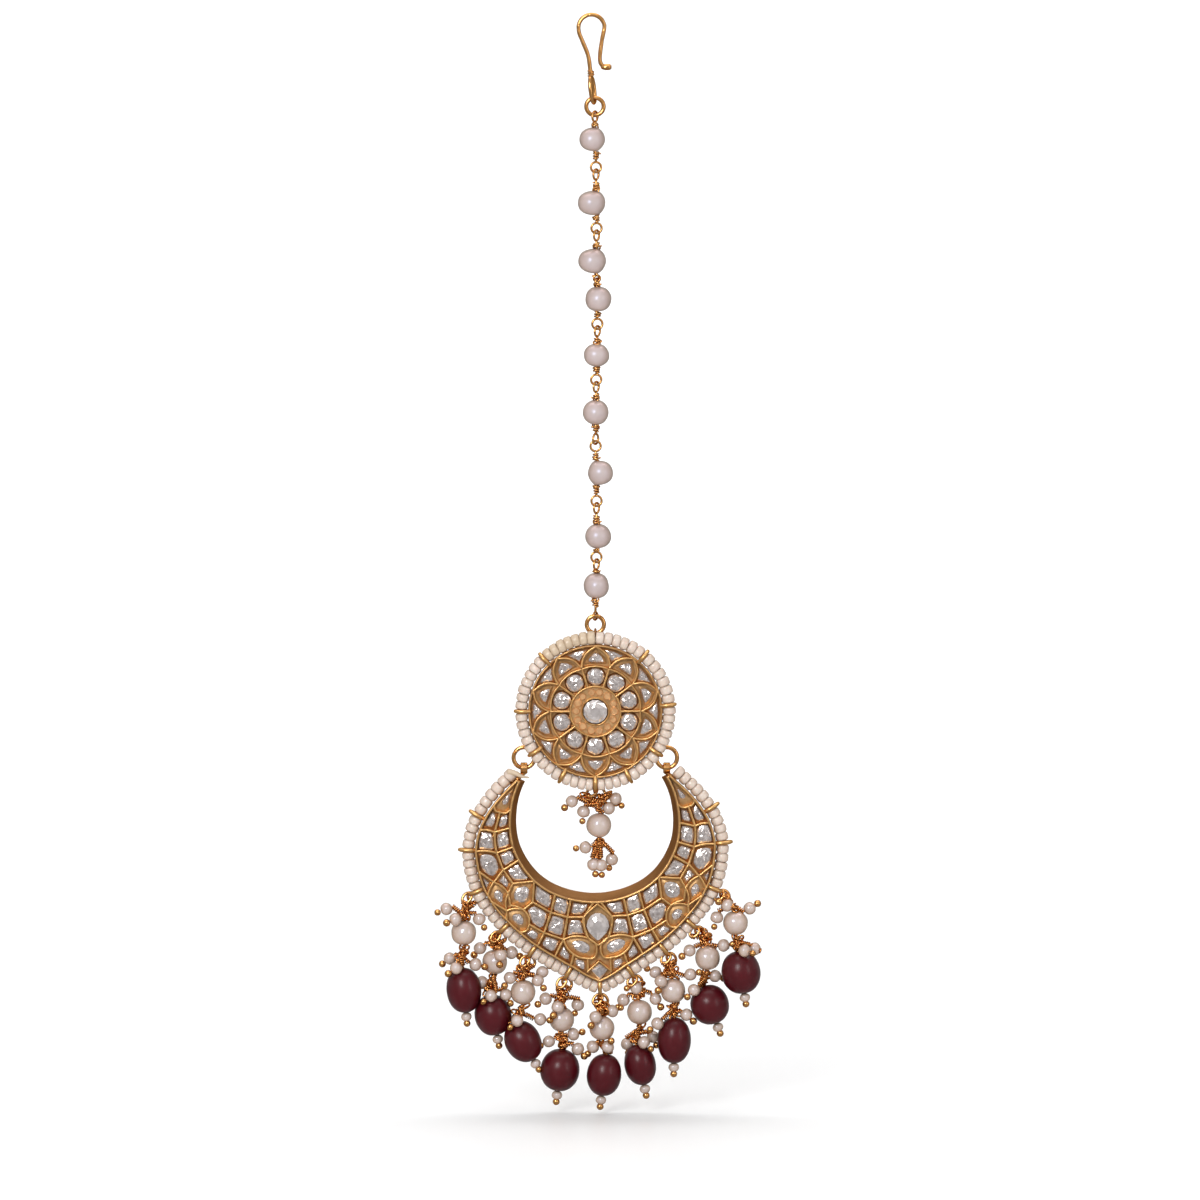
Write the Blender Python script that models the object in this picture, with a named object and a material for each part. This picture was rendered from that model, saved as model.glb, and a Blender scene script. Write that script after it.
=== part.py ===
"""Maang tikka: a hair hook, a chain of pearls, a round stone-set disc and a crescent with nine hanging drops.

Sizes are millimetres, and build_mesh turns them into metres. X is to the right, -Y is the front and Z is up.
The origin is the top inside the hook, where it sits on a hairpin or a plait.
"""

import math

import bpy
from mathutils import Matrix, Vector

MM = 0.001

# Clearances and general wire
GAP = 0.10  # between pieces that touch on the real jewel
FUSE = 0.30  # how deep a soldered piece runs into the next
ROUND_SIDES = 10
WIRE_SIDES = 6
LINK_SIDES = 5
STRIP_SIDES = 4
BEAD_BANDS = 3

# Hook
HOOK_WIRE = 0.56
HOOK_BEND = 2.0
HOOK_EYE_LENGTH = 4.0
HOOK_EYE_WIDTH = 1.9
HOOK_EYE_X = 0.38
HOOK_TIP_BALL = 0.80
HOOK_BACK_LEG = [(-1.86, -2.70), (-1.47, -3.65), (-0.54, -6.00), (-0.20, -8.20)]
HOOK_FRONT_LEG = [(1.63, -3.65), (1.35, -5.68), (1.32, -6.86), (1.62, -7.55)]
HOOK_TIP = (2.30, -7.90)
HOOK_EYE_TOP = (-0.08, -9.40)

# Jump rings, measured to the middle of the wire
HOOK_RING = 1.35
DISC_RING = 1.34
SIDE_RING = 1.62
RING_WIRE = 0.60
RING_SEGMENTS = 12
HOOK_RING_X = 0.54

# Link wires
LINK_WIRE = 0.30
LINK_LOOP = 0.80
LINK_END_LOOP = 0.60
LINK_WRAP = 1.10
LEAST_WRAP = 0.08
LOOP_SEGMENTS = 10
LOWEST_LINK_X = 0.60
BORE_SLACK = 0.10

# Chain: route of the string of pearls, then the place where each link wire meets the next
CHAIN_PEARLS = [
    # x, z, width, height
    (0.12, -19.05, 4.01, 3.69),
    (0.03, -28.94, 4.31, 3.81),
    (0.12, -37.98, 4.31, 3.90),
    (1.07, -43.88, 4.09, 3.85),
    (0.78, -52.61, 4.01, 3.55),
    (0.65, -61.53, 4.03, 3.83),
    (1.41, -70.93, 3.92, 3.83),
    (1.04, -80.83, 4.03, 3.78),
    (0.73, -88.58, 3.98, 3.95),
]
LINK_X = [0.70, 0.78, 0.85, 0.91, 0.73, 0.64, 0.78, 0.76]
TURNED_LINK = 6  # this link's loops are turned the other way

# Disc
DISC_SWING_Z = -93.28
DISC_CENTRE_DROP = 14.70
DISC_RADIUS = 10.45
DISC_FRONT = -2.20
DISC_BACK = 2.00
DISC_PETALS = 10
DISC_CENTRE_STONE = 1.86
ROUND_CIRCLE = 5.43
ROUND_STONE = 1.40
# Corners of the cells outside the round stones, as degrees off the petal and shares of the disc's radius
PETAL_CELL = [(-14.5, 0.700), (0, 0.945), (14.5, 0.700)]
SPANDREL_CELL = [(18, 0.725), (30, 0.945), (6, 0.945)]
PETAL_BULGE = 0.10
SPANDREL_BULGE = -0.06

# Stones and cells
STONE_TABLE = 0.55  # table of a stone as a share of its width
GIRDLE_DEPTH = 0.70  # from the front of the walls down to the edge of a stone
TABLE_DEPTH = 0.25  # from the front of the walls down to a stone's table
POCKET_DEPTH = 1.10
CELL_WALL = 0.30
STONE_FACETS = 8

# String of seed beads round a frame, and the staples that hold it
RIM_TUBE = 1.00
RIM_SEAT = 1.06  # from the frame's wall to the middle of the string
RIM_NECK = 0.24
NECK_HALF = 0.34
SHOULDER_HALF = 0.70
SHOULDER_TUBE = 0.92
RIM_SIDES = 6
DISC_RIM_Y = -1.45
STAPLE_WIRE = 0.40
STAPLE_HALF = 0.54  # half of the staple's width, front to back
DISC_STAPLE_REACH = 0.95
DISC_STAPLES = [49, 5, -34, -63, -90, -117, -146, 180, 134]
SEAM = 90  # the disc's lug for its ring sits where the string is tied
SIDE_LUGS = {"side_ring_right": -34, "side_ring_left": -146}
LUG_WIRE = 0.38
SIDE_RING_RADIUS = 13.35  # from the disc's centre to the middle of a side ring

# Crescent, in degrees from its lowest point and shares of the way across the band
CRESCENT_LEAN = 1.8
CRESCENT_CENTRE_DROP = 7.83
CRESCENT_X = 0.47
CRESCENT_INNER = 13.20
CRESCENT_FRONT = -2.10
CRESCENT_BACK = 1.90
CRESCENT_WALL = 0.40
CRESCENT_LONGEST = 25.50
CRESCENT_OUTLINE = [
    # degrees from the lowest point, outer radius as a share of CRESCENT_LONGEST
    (0, 1.000), (5, 0.963), (10, 0.922), (18, 0.883), (26, 0.859), (35, 0.838), (43, 0.824), (50, 0.818),
    (60, 0.802), (68, 0.780), (77, 0.755), (84, 0.722), (90, 0.688), (96, 0.650), (102, 0.614),
    (108, 0.580), (114, 0.553), (119, 0.537),
]
CRESCENT_CELLS = [
    # name, bulge of the sides, corners
    ("tip", 0.05, [(116, 0.50), (97, 0.00), (97, 1.00)]),
    ("upper_inner", 0.0, [(97, 0.00), (97, 0.56), (85, 0.46), (85, 0.00)]),
    ("upper_outer", 0.0, [(97, 0.56), (97, 1.00), (85, 1.00), (85, 0.46)]),
    ("middle_inner", 0.0, [(85, 0.00), (85, 0.46), (74, 0.46), (74, 0.00)]),
    ("middle_outer", 0.0, [(85, 0.46), (85, 1.00), (74, 1.00), (74, 0.46)]),
    ("lower_inner", 0.0, [(74, 0.00), (74, 0.46), (62.7, 0.42), (62.7, 0.00)]),
    ("lower_outer", 0.0, [(74, 0.46), (74, 1.00), (65, 1.00), (60, 0.73), (62.7, 0.42)]),
    ("diamond", 0.0, [(62.7, 0.42), (59.5, 0.72), (52, 0.64), (54.5, 0.38)]),
    ("shoulder", 0.0, [(62.7, 0.00), (62.7, 0.42), (54.5, 0.36), (52.5, 0.00)]),
    ("round", 0.12, [(52.5, 0.08), (52, 0.50), (45.2, 0.64), (38.5, 0.50), (38, 0.08), (45.2, 0.00)]),
    ("pear", 0.06, [(56, 1.00), (59, 0.76), (51.5, 0.67), (48, 0.80), (49.5, 1.00)]),
    ("leaf", 0.10, [(46.5, 0.84), (40, 0.64), (34, 0.78), (37, 1.00), (44, 1.00)]),
    ("top_outer", 0.0, [(37, 0.00), (37, 0.36), (28.5, 0.33), (28.5, 0.00)]),
    ("top_middle", 0.0, [(28.5, 0.00), (28.5, 0.33), (17.5, 0.30), (17, 0.00)]),
    ("top_inner", 0.0, [(17, 0.00), (17.5, 0.30), (9.5, 0.27), (2.5, 0.00)]),
    ("centre_outer", 0.05, [(37.5, 0.58), (36, 0.37), (27, 0.34), (26, 0.64), (33, 0.76)]),
    ("centre_middle", 0.0, [(26, 0.34), (26, 0.66), (16.5, 0.66), (16.5, 0.31)]),
    ("centre_inner", 0.0, [(16.5, 0.31), (16.5, 0.62), (7.0, 0.47), (9, 0.29)]),
    ("bottom_outer", 0.0, [(36, 1.00), (33.5, 0.79), (27, 0.69), (26, 1.00)]),
    ("bottom_middle", 0.0, [(26, 1.00), (26.5, 0.69), (17.5, 0.69), (18, 1.00)]),
    ("marquise", 0.12, [(1.6, 0.56), (5.5, 0.50), (14.5, 0.66), (9.5, 0.73)]),
    ("bottom_inner", 0.0, [(11, 1.00), (13.5, 0.76), (4.0, 0.78), (4.8, 1.00)]),
]
MIDDLE_CELLS = [
    ("dart", 0.0, [(0, 0.58), (3.2, 0.69), (0, 0.80), (-3.2, 0.69)]),
    ("kite", 0.08, [(0, 0.82), (3.8, 0.895), (0, 0.985), (-3.8, 0.895)]),
]
CENTRE_CELL = ("centre", 0.0, [(0, 0.01), (4, 0.10), (8.2, 0.27), (5.5, 0.41), (0, 0.53),
                               (-5.5, 0.41), (-8.2, 0.27), (-4, 0.10)])
CRESCENT_RIM_Y = -0.50
CRESCENT_RIM_END = 112
CRESCENT_STAPLE_REACH = 1.25
CRESCENT_STAPLES = [-92, -77, -59.5, -41, -26.5, -10.6, 0, 10.4, 25.5, 40.3, 57.4, 76.8, 92]
BAIL = 0.75
BAIL_WIRE = 0.44

# Drops, left to right. Each runs from its staple to the pearl, on to the maroon bead and on to the end ball
DROP_WIRE = 0.50
DROP_LOOP = 0.55
DROP_PEARL = (3.90, 3.80)
END_PEARL = 0.82
END_BALL = 0.50
WIRE_MASS = 0.85
WRAP_REACH = 0.20
DROPS = [
    # staple, pearl x z, bead x z, ball x z, bead width, bead height, depth
    (2, (-0.87, -6.01), (-0.02, -8.98), (0.51, -5.31), 5.27, 6.87, -0.30),
    (3, (-0.50, -4.59), (-0.28, -8.32), (0.84, -4.37), 5.60, 6.20, 0.50),
    (4, (-0.67, -5.40), (0.00, -7.73), (2.20, -3.90), 5.40, 6.50, -0.30),
    (5, (-0.37, -6.40), (-0.28, -7.96), (-0.50, -4.29), 5.90, 6.40, 0.50),
    (6, (0.28, -4.97), (0.33, -7.37), (-0.60, -4.84), 5.20, 6.40, -0.60),
    (7, (0.74, -5.53), (0.11, -8.29), (0.90, -4.61), 4.75, 6.25, 0.50),
    (8, (0.71, -5.62), (0.19, -7.76), (-0.06, -4.97), 5.10, 7.00, -0.30),
    (9, (1.64, -4.68), (0.36, -7.34), (1.63, -4.53), 5.80, 6.00, 0.30),
    (10, (2.11, -4.84), (0.85, -7.75), (0.70, -4.39), 5.90, 6.50, -0.30),
]
# Centre drop, from the middle of the disc
CENTRE_DROP_TOP = -12.45
CENTRE_DROP_PEARL = (0.55, -18.05)
CENTRE_DROP_TIP = (0.50, -24.20)

COLOURS = {
    # red, green, blue, metallic, roughness
    "gold": (0.62, 0.36, 0.11, 1.0, 0.38),
    "copper_wire": (0.58, 0.22, 0.06, 1.0, 0.35),
    "pearl": (0.66, 0.56, 0.53, 0.0, 0.30),
    "seed_bead": (0.74, 0.68, 0.66, 0.0, 0.35),
    "maroon_bead": (0.08, 0.008, 0.014, 0.0, 0.22),
    "clear_stone": (0.70, 0.66, 0.60, 0.0, 0.05),
}


def clear_scene():
    for obj in list(bpy.data.objects):
        bpy.data.objects.remove(obj, do_unlink=True)


def material(kind):
    if kind in bpy.data.materials:
        return bpy.data.materials[kind]
    red, green, blue, metallic, roughness = COLOURS[kind]
    made = bpy.data.materials.new(kind)
    made.use_nodes = True
    shader = made.node_tree.nodes["Principled BSDF"]
    shader.inputs["Base Color"].default_value = (red, green, blue, 1.0)
    shader.inputs["Metallic"].default_value = metallic
    shader.inputs["Roughness"].default_value = roughness
    return made


def build_mesh(name, shape, origin):
    """The shape's mesh in metres, with its origin moved to the given point."""
    points, faces = shape
    mesh = bpy.data.meshes.new(name)
    mesh.from_pydata([(Vector(point) - origin) * MM for point in points], [], faces)
    mesh.validate()
    return mesh


def add_node(name, shapes, kind, origin=(0, 0, 0), parent=None, cutters=(), smooth=True):
    """One named object: the first shape, with the other shapes fused on and the cutters taken out."""
    origin = Vector(origin)
    node = add_object(name, shapes[0], origin, parent)
    node.data.materials.append(material(kind))
    if cutters:
        add_boolean(node, cutters, "DIFFERENCE", origin)
    if len(shapes) > 1:
        add_boolean(node, shapes[1:], "UNION", origin)
    if smooth:
        node.data.shade_smooth()
        node.data.set_sharp_from_angle(angle=math.radians(40))
    return node


def add_object(name, shape, origin, parent):
    obj = bpy.data.objects.new(name, build_mesh(name, shape, origin))
    obj.location = origin * MM
    bpy.context.scene.collection.objects.link(obj)
    if parent:
        obj.parent = parent
        obj.matrix_parent_inverse = Matrix.Translation(-parent.location)
    return obj


def add_boolean(node, shapes, operation, origin):
    helpers = bpy.data.collections.new(f"{node.name}_{operation.lower()}")
    bpy.context.scene.collection.children.link(helpers)
    for number, shape in enumerate(shapes):
        helper = bpy.data.objects.new(f"{helpers.name}_{number}", build_mesh(helpers.name, shape, origin))
        helper.location = origin * MM
        helper.hide_render = True
        helper.display_type = "WIRE"
        helpers.objects.link(helper)
    modifier = node.modifiers.new(operation.title(), "BOOLEAN")
    modifier.operation = operation
    modifier.operand_type = "COLLECTION"
    modifier.collection = helpers
    modifier.solver = "EXACT"


def skin(rings, closed=False, caps=True):
    """A skin over rings of equal length, listed anticlockwise as seen from the last ring."""
    sides = len(rings[0])
    points = [tuple(point) for ring in rings for point in ring]
    faces = []
    count = len(rings)
    for row in range(count if closed else count - 1):
        low = row * sides
        high = (row + 1) % count * sides
        for side in range(sides):
            turn = (side + 1) % sides
            faces.append((low + side, low + turn, high + turn, high + side))
    if caps and not closed:
        faces.append(tuple(reversed(range(sides))))
        faces.append(tuple(range((count - 1) * sides, count * sides)))
    return points, faces


def frames_along(path, closed):
    """A side and an up direction at each point of the path, turned as little as possible."""
    count = len(path)
    tangents = []
    for number in range(count):
        before = path[number - 1] if closed or number else path[0]
        after = path[(number + 1) % count] if closed or number < count - 1 else path[-1]
        tangents.append((after - before).normalized())
    across = Vector((0, 1, 0)) if abs(tangents[0].y) < 0.9 else Vector((1, 0, 0))
    frames = []
    for tangent in tangents:
        across = (across - tangent * across.dot(tangent)).normalized()
        frames.append((across, tangent.cross(across)))
    return frames


def tube(path, radii, sides, closed=False):
    """A round bar along the path, with one radius or one for each point."""
    path = [Vector(point) for point in path]
    if not isinstance(radii, (list, tuple)):
        radii = [radii] * len(path)
    rings = []
    for point, radius, (across, up) in zip(path, radii, frames_along(path, closed)):
        rings.append([point + radius * (math.cos(turn) * across + math.sin(turn) * up)
                      for turn in turns(sides)])
    return skin(rings, closed)


def turns(count, start=0.0):
    return [start + math.tau * number / count for number in range(count)]


def ring(centre, radius, wire, flat, segments=RING_SEGMENTS, sides=LINK_SIDES):
    """A wire ring lying in the plane of the two given directions."""
    first, second = [Vector(direction) for direction in flat]
    path = [Vector(centre) + radius * (math.cos(turn) * first + math.sin(turn) * second)
            for turn in turns(segments)]
    return tube(path, wire / 2, sides, closed=True)


FACING = ((1, 0, 0), (0, 0, 1))  # a ring seen full from the front
EDGE_ON = ((0, 1, 0), (0, 0, 1))  # a ring seen from its edge


def lathe(profile, centre, axis, sides=ROUND_SIDES, shift=(0, 0, 0)):
    """A turned solid of (radius, height along the axis, share of the shift) rows."""
    centre, axis, shift = Vector(centre), Vector(axis).normalized(), Vector(shift)
    across = (Vector((0, 1, 0)) - axis * axis.y).normalized()
    up = axis.cross(across)
    rings = []
    for radius, height, share in profile:
        middle = centre + axis * height + shift * share
        rings.append([middle + radius * (math.cos(turn) * across + math.sin(turn) * up)
                      for turn in turns(sides)])
    return rings


def bored_bead(centre, width, height, bore, axis, shift=(0, 0, 0), bands=BEAD_BANDS):
    """A bead with a hole along its axis. The shift moves its body off the hole."""
    start = math.asin(min(0.9, bore / (width / 2)))
    profile = []
    for band in range(bands + 2):
        tilt = start + (math.pi - 2 * start) * band / (bands + 1)
        share = 0 if band in (0, bands + 1) else math.sin(tilt)
        profile.append((width / 2 * math.sin(tilt), -height / 2 * math.cos(tilt), share))
    return skin(lathe(profile, centre, axis, shift=shift), closed=True)


def prism(outline, front, back):
    """A flat outline of (x, z) points, anticlockwise from the front, made solid between two depths."""
    rings = [[(x, back, z) for x, z in outline], [(x, front, z) for x, z in outline]]
    return skin(rings)


def stone(outline, base, girdle, table, share=STONE_TABLE):
    """A cut stone: straight sides up to the girdle, then one facet a side up to a flat table."""
    x_mid, z_mid = middle_of(outline)
    small = [(x_mid + (x - x_mid) * share, z_mid + (z - z_mid) * share) for x, z in outline]
    levels = [(outline, base), (outline, girdle), (small, table)]
    return skin([[(x, depth, z) for x, z in loop] for loop, depth in levels])


def cell_cutter(outline, front, share=STONE_TABLE):
    """What a cell takes out of its frame: its bottom leaves a cut stone that fills the cell."""
    x_mid, z_mid = middle_of(outline)
    small = [(x_mid + (x - x_mid) * share, z_mid + (z - z_mid) * share) for x, z in outline]
    levels = [(small, front + TABLE_DEPTH), (outline, front + GIRDLE_DEPTH), (outline, front - FUSE)]
    return skin([[(x, depth, z) for x, z in loop] for loop, depth in levels])


def middle_of(outline):
    return sum(x for x, _ in outline) / len(outline), sum(z for _, z in outline) / len(outline)


def anticlockwise(outline):
    area = sum(x * z2 - x2 * z for (x, z), (x2, z2) in zip(outline, outline[1:] + outline[:1]))
    return outline if area > 0 else outline[::-1]


def with_mids(corners, bulge, count):
    """The outline with points along each side, bowed outwards by a share of the side's length."""
    corners = anticlockwise(corners)
    per_side = max(1, math.ceil(count / len(corners)))
    outline = []
    for (x, z), (x2, z2) in zip(corners, corners[1:] + corners[:1]):
        for step in range(per_side):
            share = step / per_side
            bow = 4 * bulge * share * (1 - share)
            outline.append((x + (x2 - x) * share + (z2 - z) * bow, z + (z2 - z) * share - (x2 - x) * bow))
    return outline


def inset(outline, amount):
    """The anticlockwise outline moved inwards by the amount."""
    moved = []
    count = len(outline)
    for number in range(count):
        before = Vector(outline[number - 1])
        here = Vector(outline[number])
        after = Vector(outline[(number + 1) % count])
        first = (here - before).normalized()
        second = (after - here).normalized()
        inward = Vector((-first.y - second.y, first.x + second.x))
        inward.normalize()
        lean = max(0.45, inward.dot(Vector((-first.y, first.x))))
        moved.append(tuple(here + inward * (amount / lean)))
    return moved


def disc_point(degrees, radius):
    """A point in the disc's plane, from the disc's centre, anticlockwise from the right."""
    turn = math.radians(degrees)
    return Vector((DISC_X + radius * math.cos(turn), 0, DISC_Z + radius * math.sin(turn)))


def crescent_outer(degrees):
    """The crescent's outer radius, read between the rows of its outline."""
    degrees = abs(degrees)
    for (low, first), (high, second) in zip(CRESCENT_OUTLINE, CRESCENT_OUTLINE[1:]):
        if degrees <= high:
            share = first + (second - first) * (degrees - low) / (high - low)
            return share * CRESCENT_LONGEST
    return CRESCENT_OUTLINE[-1][1] * CRESCENT_LONGEST


def crescent_point(degrees, radius, depth=0.0):
    """A point of the crescent. The angle runs from its lowest point to the right."""
    turn = math.radians(degrees + CRESCENT_LEAN)
    return Vector((CRESCENT_X + radius * math.sin(turn), depth, CRESCENT_Z - radius * math.cos(turn)))


def crescent_share(degrees, share):
    """A point of the crescent's face: share 0 is inside the inner wall, and 1 inside the outer one."""
    inner = CRESCENT_INNER + CRESCENT_WALL - CELL_WALL / 2
    outer = crescent_outer(degrees) - CRESCENT_WALL + CELL_WALL / 2
    point = crescent_point(degrees, inner + (outer - inner) * share)
    return point.x, point.z


# Places that follow from the sizes
DISC_X = LOWEST_LINK_X
DISC_Z = DISC_SWING_Z - DISC_CENTRE_DROP
SIDE_RINGS = {name: disc_point(degrees, SIDE_RING_RADIUS) for name, degrees in SIDE_LUGS.items()}
CRESCENT_SWING_Z = SIDE_RINGS["side_ring_left"].z - SIDE_RING
CRESCENT_Z = CRESCENT_SWING_Z - CRESCENT_CENTRE_DROP


def hair_hook():
    """One wire: the tip, the bend that sits on the hair, the back leg and the long eye at its foot."""
    radius = HOOK_WIRE / 2
    middle = Vector((0, 0, radius - HOOK_BEND))
    bend = [middle + HOOK_BEND * Vector((math.cos(turn), 0, math.sin(turn)))
            for turn in [math.pi * step / 8 for step in range(9)]]
    path = [Vector((x, 0, z)) for x, z in [HOOK_TIP] + HOOK_FRONT_LEG[::-1]]
    path += bend
    path += [Vector((x, 0, z)) for x, z in HOOK_BACK_LEG + [HOOK_EYE_TOP]]
    radii = [HOOK_TIP_BALL / 2] + [radius] * (len(path) - 1)
    eye_top = Vector((HOOK_EYE_TOP[0], 0, HOOK_EYE_TOP[1]))
    eye_foot = Vector((HOOK_EYE_X, 0, eye_top.z - HOOK_EYE_LENGTH))
    half = HOOK_EYE_WIDTH / 2
    eye = []
    for turn in turns(12):
        share = 0.5 - 0.5 * math.sin(turn)
        straight = eye_top + (eye_foot - eye_top) * share
        eye.append(straight + Vector((0, half * math.cos(turn), 0)))
    add_node("hair_hook", [tube(path, radii, WIRE_SIDES), tube(eye, radius, WIRE_SIDES, closed=True)], "gold")
    return eye_foot


def link_wire(name, top, bottom, top_loop, bottom_loop, top_flat, bottom_flat, pearl):
    """A wire from its top loop's middle to its bottom loop's, with wraps next to the pearl."""
    top, bottom = Vector(top), Vector(bottom)
    down = (bottom - top).normalized()
    x, z, _, height = pearl
    pearl_middle = (Vector((x, 0, z)) - top).dot(down)
    above = pearl_middle - height / 2 - GAP / 2
    below = pearl_middle + height / 2 + GAP / 2
    wire = LINK_WIRE / 2
    wrap = LINK_WRAP / 2
    end = (bottom - top).length
    path = [
        (top_loop - wire, wire), (top_loop, wrap), (above - wire / 2, wrap), (above, wire),
        (below, wire), (below + wire / 2, wrap), (end - bottom_loop, wrap), (end - bottom_loop + wire, wire),
    ]
    core = tube([top + down * at for at, _ in path], [size for _, size in path], LINK_SIDES)
    upper = ring(top, top_loop, LINK_WIRE, top_flat, LOOP_SEGMENTS)
    lower = ring(bottom, bottom_loop, LINK_WIRE, bottom_flat, LOOP_SEGMENTS)
    add_node(name, [core, upper, lower], "gold")
    return top + down * pearl_middle, down


def chain(ring_foot):
    """The link wires from the hook's ring down to the disc's ring, each through its pearl."""
    joints = []
    for number in range(len(CHAIN_PEARLS) - 1):
        _, z, _, height = CHAIN_PEARLS[number]
        _, z_next, _, height_next = CHAIN_PEARLS[number + 1]
        space = (z - height / 2) - (z_next + height_next / 2)
        loop = min(LINK_LOOP, (space + GAP - 2 * LEAST_WRAP) / 4)
        middle = (z - height / 2 + z_next + height_next / 2) / 2
        apart = 2 * loop - LINK_WIRE - GAP
        joints.append((LINK_X[number], middle, loop, apart))
    first_top = ring_foot + Vector((0, 0, RING_WIRE / 2 + GAP + LINK_WIRE / 2 - LINK_LOOP))
    last_bottom = Vector((LOWEST_LINK_X, 0, DISC_SWING_Z))
    for number, pearl in enumerate(CHAIN_PEARLS, 1):
        if number == 1:
            top, top_loop = first_top, LINK_LOOP
        else:
            x, z, top_loop, apart = joints[number - 2]
            top = Vector((x, 0, z - apart / 2))
        if number == len(CHAIN_PEARLS):
            bottom, bottom_loop = last_bottom, LINK_END_LOOP
        else:
            x, z, bottom_loop, apart = joints[number - 1]
            bottom = Vector((x, 0, z + apart / 2))
        top_flat = FACING if number == TURNED_LINK + 1 else EDGE_ON
        bottom_flat = EDGE_ON if number in (TURNED_LINK, len(CHAIN_PEARLS)) else FACING
        middle, down = link_wire(f"link_wire_{number}", top, bottom, top_loop, bottom_loop, top_flat, bottom_flat,
                                 pearl)
        x, _, width, height = pearl
        shift = Vector((x - middle.x, 0, 0))
        bore = LINK_WIRE / 2 + BORE_SLACK
        add_node(f"chain_pearl_{number}", [bored_bead(middle, width, height, bore, down, shift)], "pearl",
                 origin=middle)


def rim_string(name, place, stops, ends, seat_y, step, parent, origin):
    """The string of seed beads as a plain tube, with a neck where each staple or lug goes over it.

    place(angle) gives a point and the millimetres in a degree there.
    """
    first, last = ends
    closed = first is None
    knots = []
    for stop in stops:
        degree = place(stop)[1]
        knots += [(stop - SHOULDER_HALF / degree, SHOULDER_TUBE), (stop - NECK_HALF / degree, RIM_NECK),
                  (stop + NECK_HALF / degree, RIM_NECK), (stop + SHOULDER_HALF / degree, SHOULDER_TUBE)]
    spans = list(zip(stops, stops[1:] + [stops[0] + 360] if closed else stops[1:]))
    for low, high in spans:
        count = max(2, round((high - low) / step))
        knots += [(low + (high - low) * number / count, RIM_TUBE) for number in range(1, count)]
    if not closed:
        knots += [(first, SHOULDER_TUBE), (first + 3, RIM_TUBE), (last - 3, RIM_TUBE), (last, SHOULDER_TUBE)]
    knots.sort()
    path = []
    for angle, _ in knots:
        point = place(angle)[0]
        path.append(Vector((point.x, seat_y, point.z)))
    shape = tube(path, [size for _, size in knots], RIM_SIDES, closed)
    add_node(name, [shape], "seed_bead", parent=parent, origin=origin)


def staple(foot, outward, seat_y, reach):
    """A bent wire from the frame's wall over the string of beads and back."""
    corner = STAPLE_HALF * 0.45
    far = RIM_SEAT + reach
    route = [(-FUSE, -STAPLE_HALF), (far - corner, -STAPLE_HALF), (far, -corner), (far, corner),
             (far - corner, STAPLE_HALF), (-FUSE, STAPLE_HALF)]
    path = [foot + outward * away + Vector((0, seat_y + deep, 0)) for away, deep in route]
    return tube(path, STAPLE_WIRE / 2, STRIP_SIDES)


def lug(centre, outward, reach):
    """An eye round a jump ring's wire, with a stem into the frame's wall."""
    size = RING_WIRE / 2 + GAP + LUG_WIRE / 2
    eye = ring(centre, size, LUG_WIRE, (outward, (0, 1, 0)), LOOP_SEGMENTS)
    stem = tube([centre - outward * size, centre - outward * reach], LUG_WIRE / 2, LINK_SIDES)
    return [eye, stem]


def disc_cells():
    cells = []
    for number in range(DISC_PETALS):
        middle = 90 + 360 / DISC_PETALS * number
        centre = disc_point(middle, ROUND_CIRCLE)
        cells.append([(centre.x + ROUND_STONE * math.cos(turn), centre.z + ROUND_STONE * math.sin(turn))
                      for turn in turns(STONE_FACETS)])
        for corners, bulge in ((PETAL_CELL, PETAL_BULGE), (SPANDREL_CELL, SPANDREL_BULGE)):
            points = [disc_point(middle - degrees, share * DISC_RADIUS) for degrees, share in corners]
            cells.append(with_mids([(point.x, point.z) for point in points], bulge, STONE_FACETS))
    return cells


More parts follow.
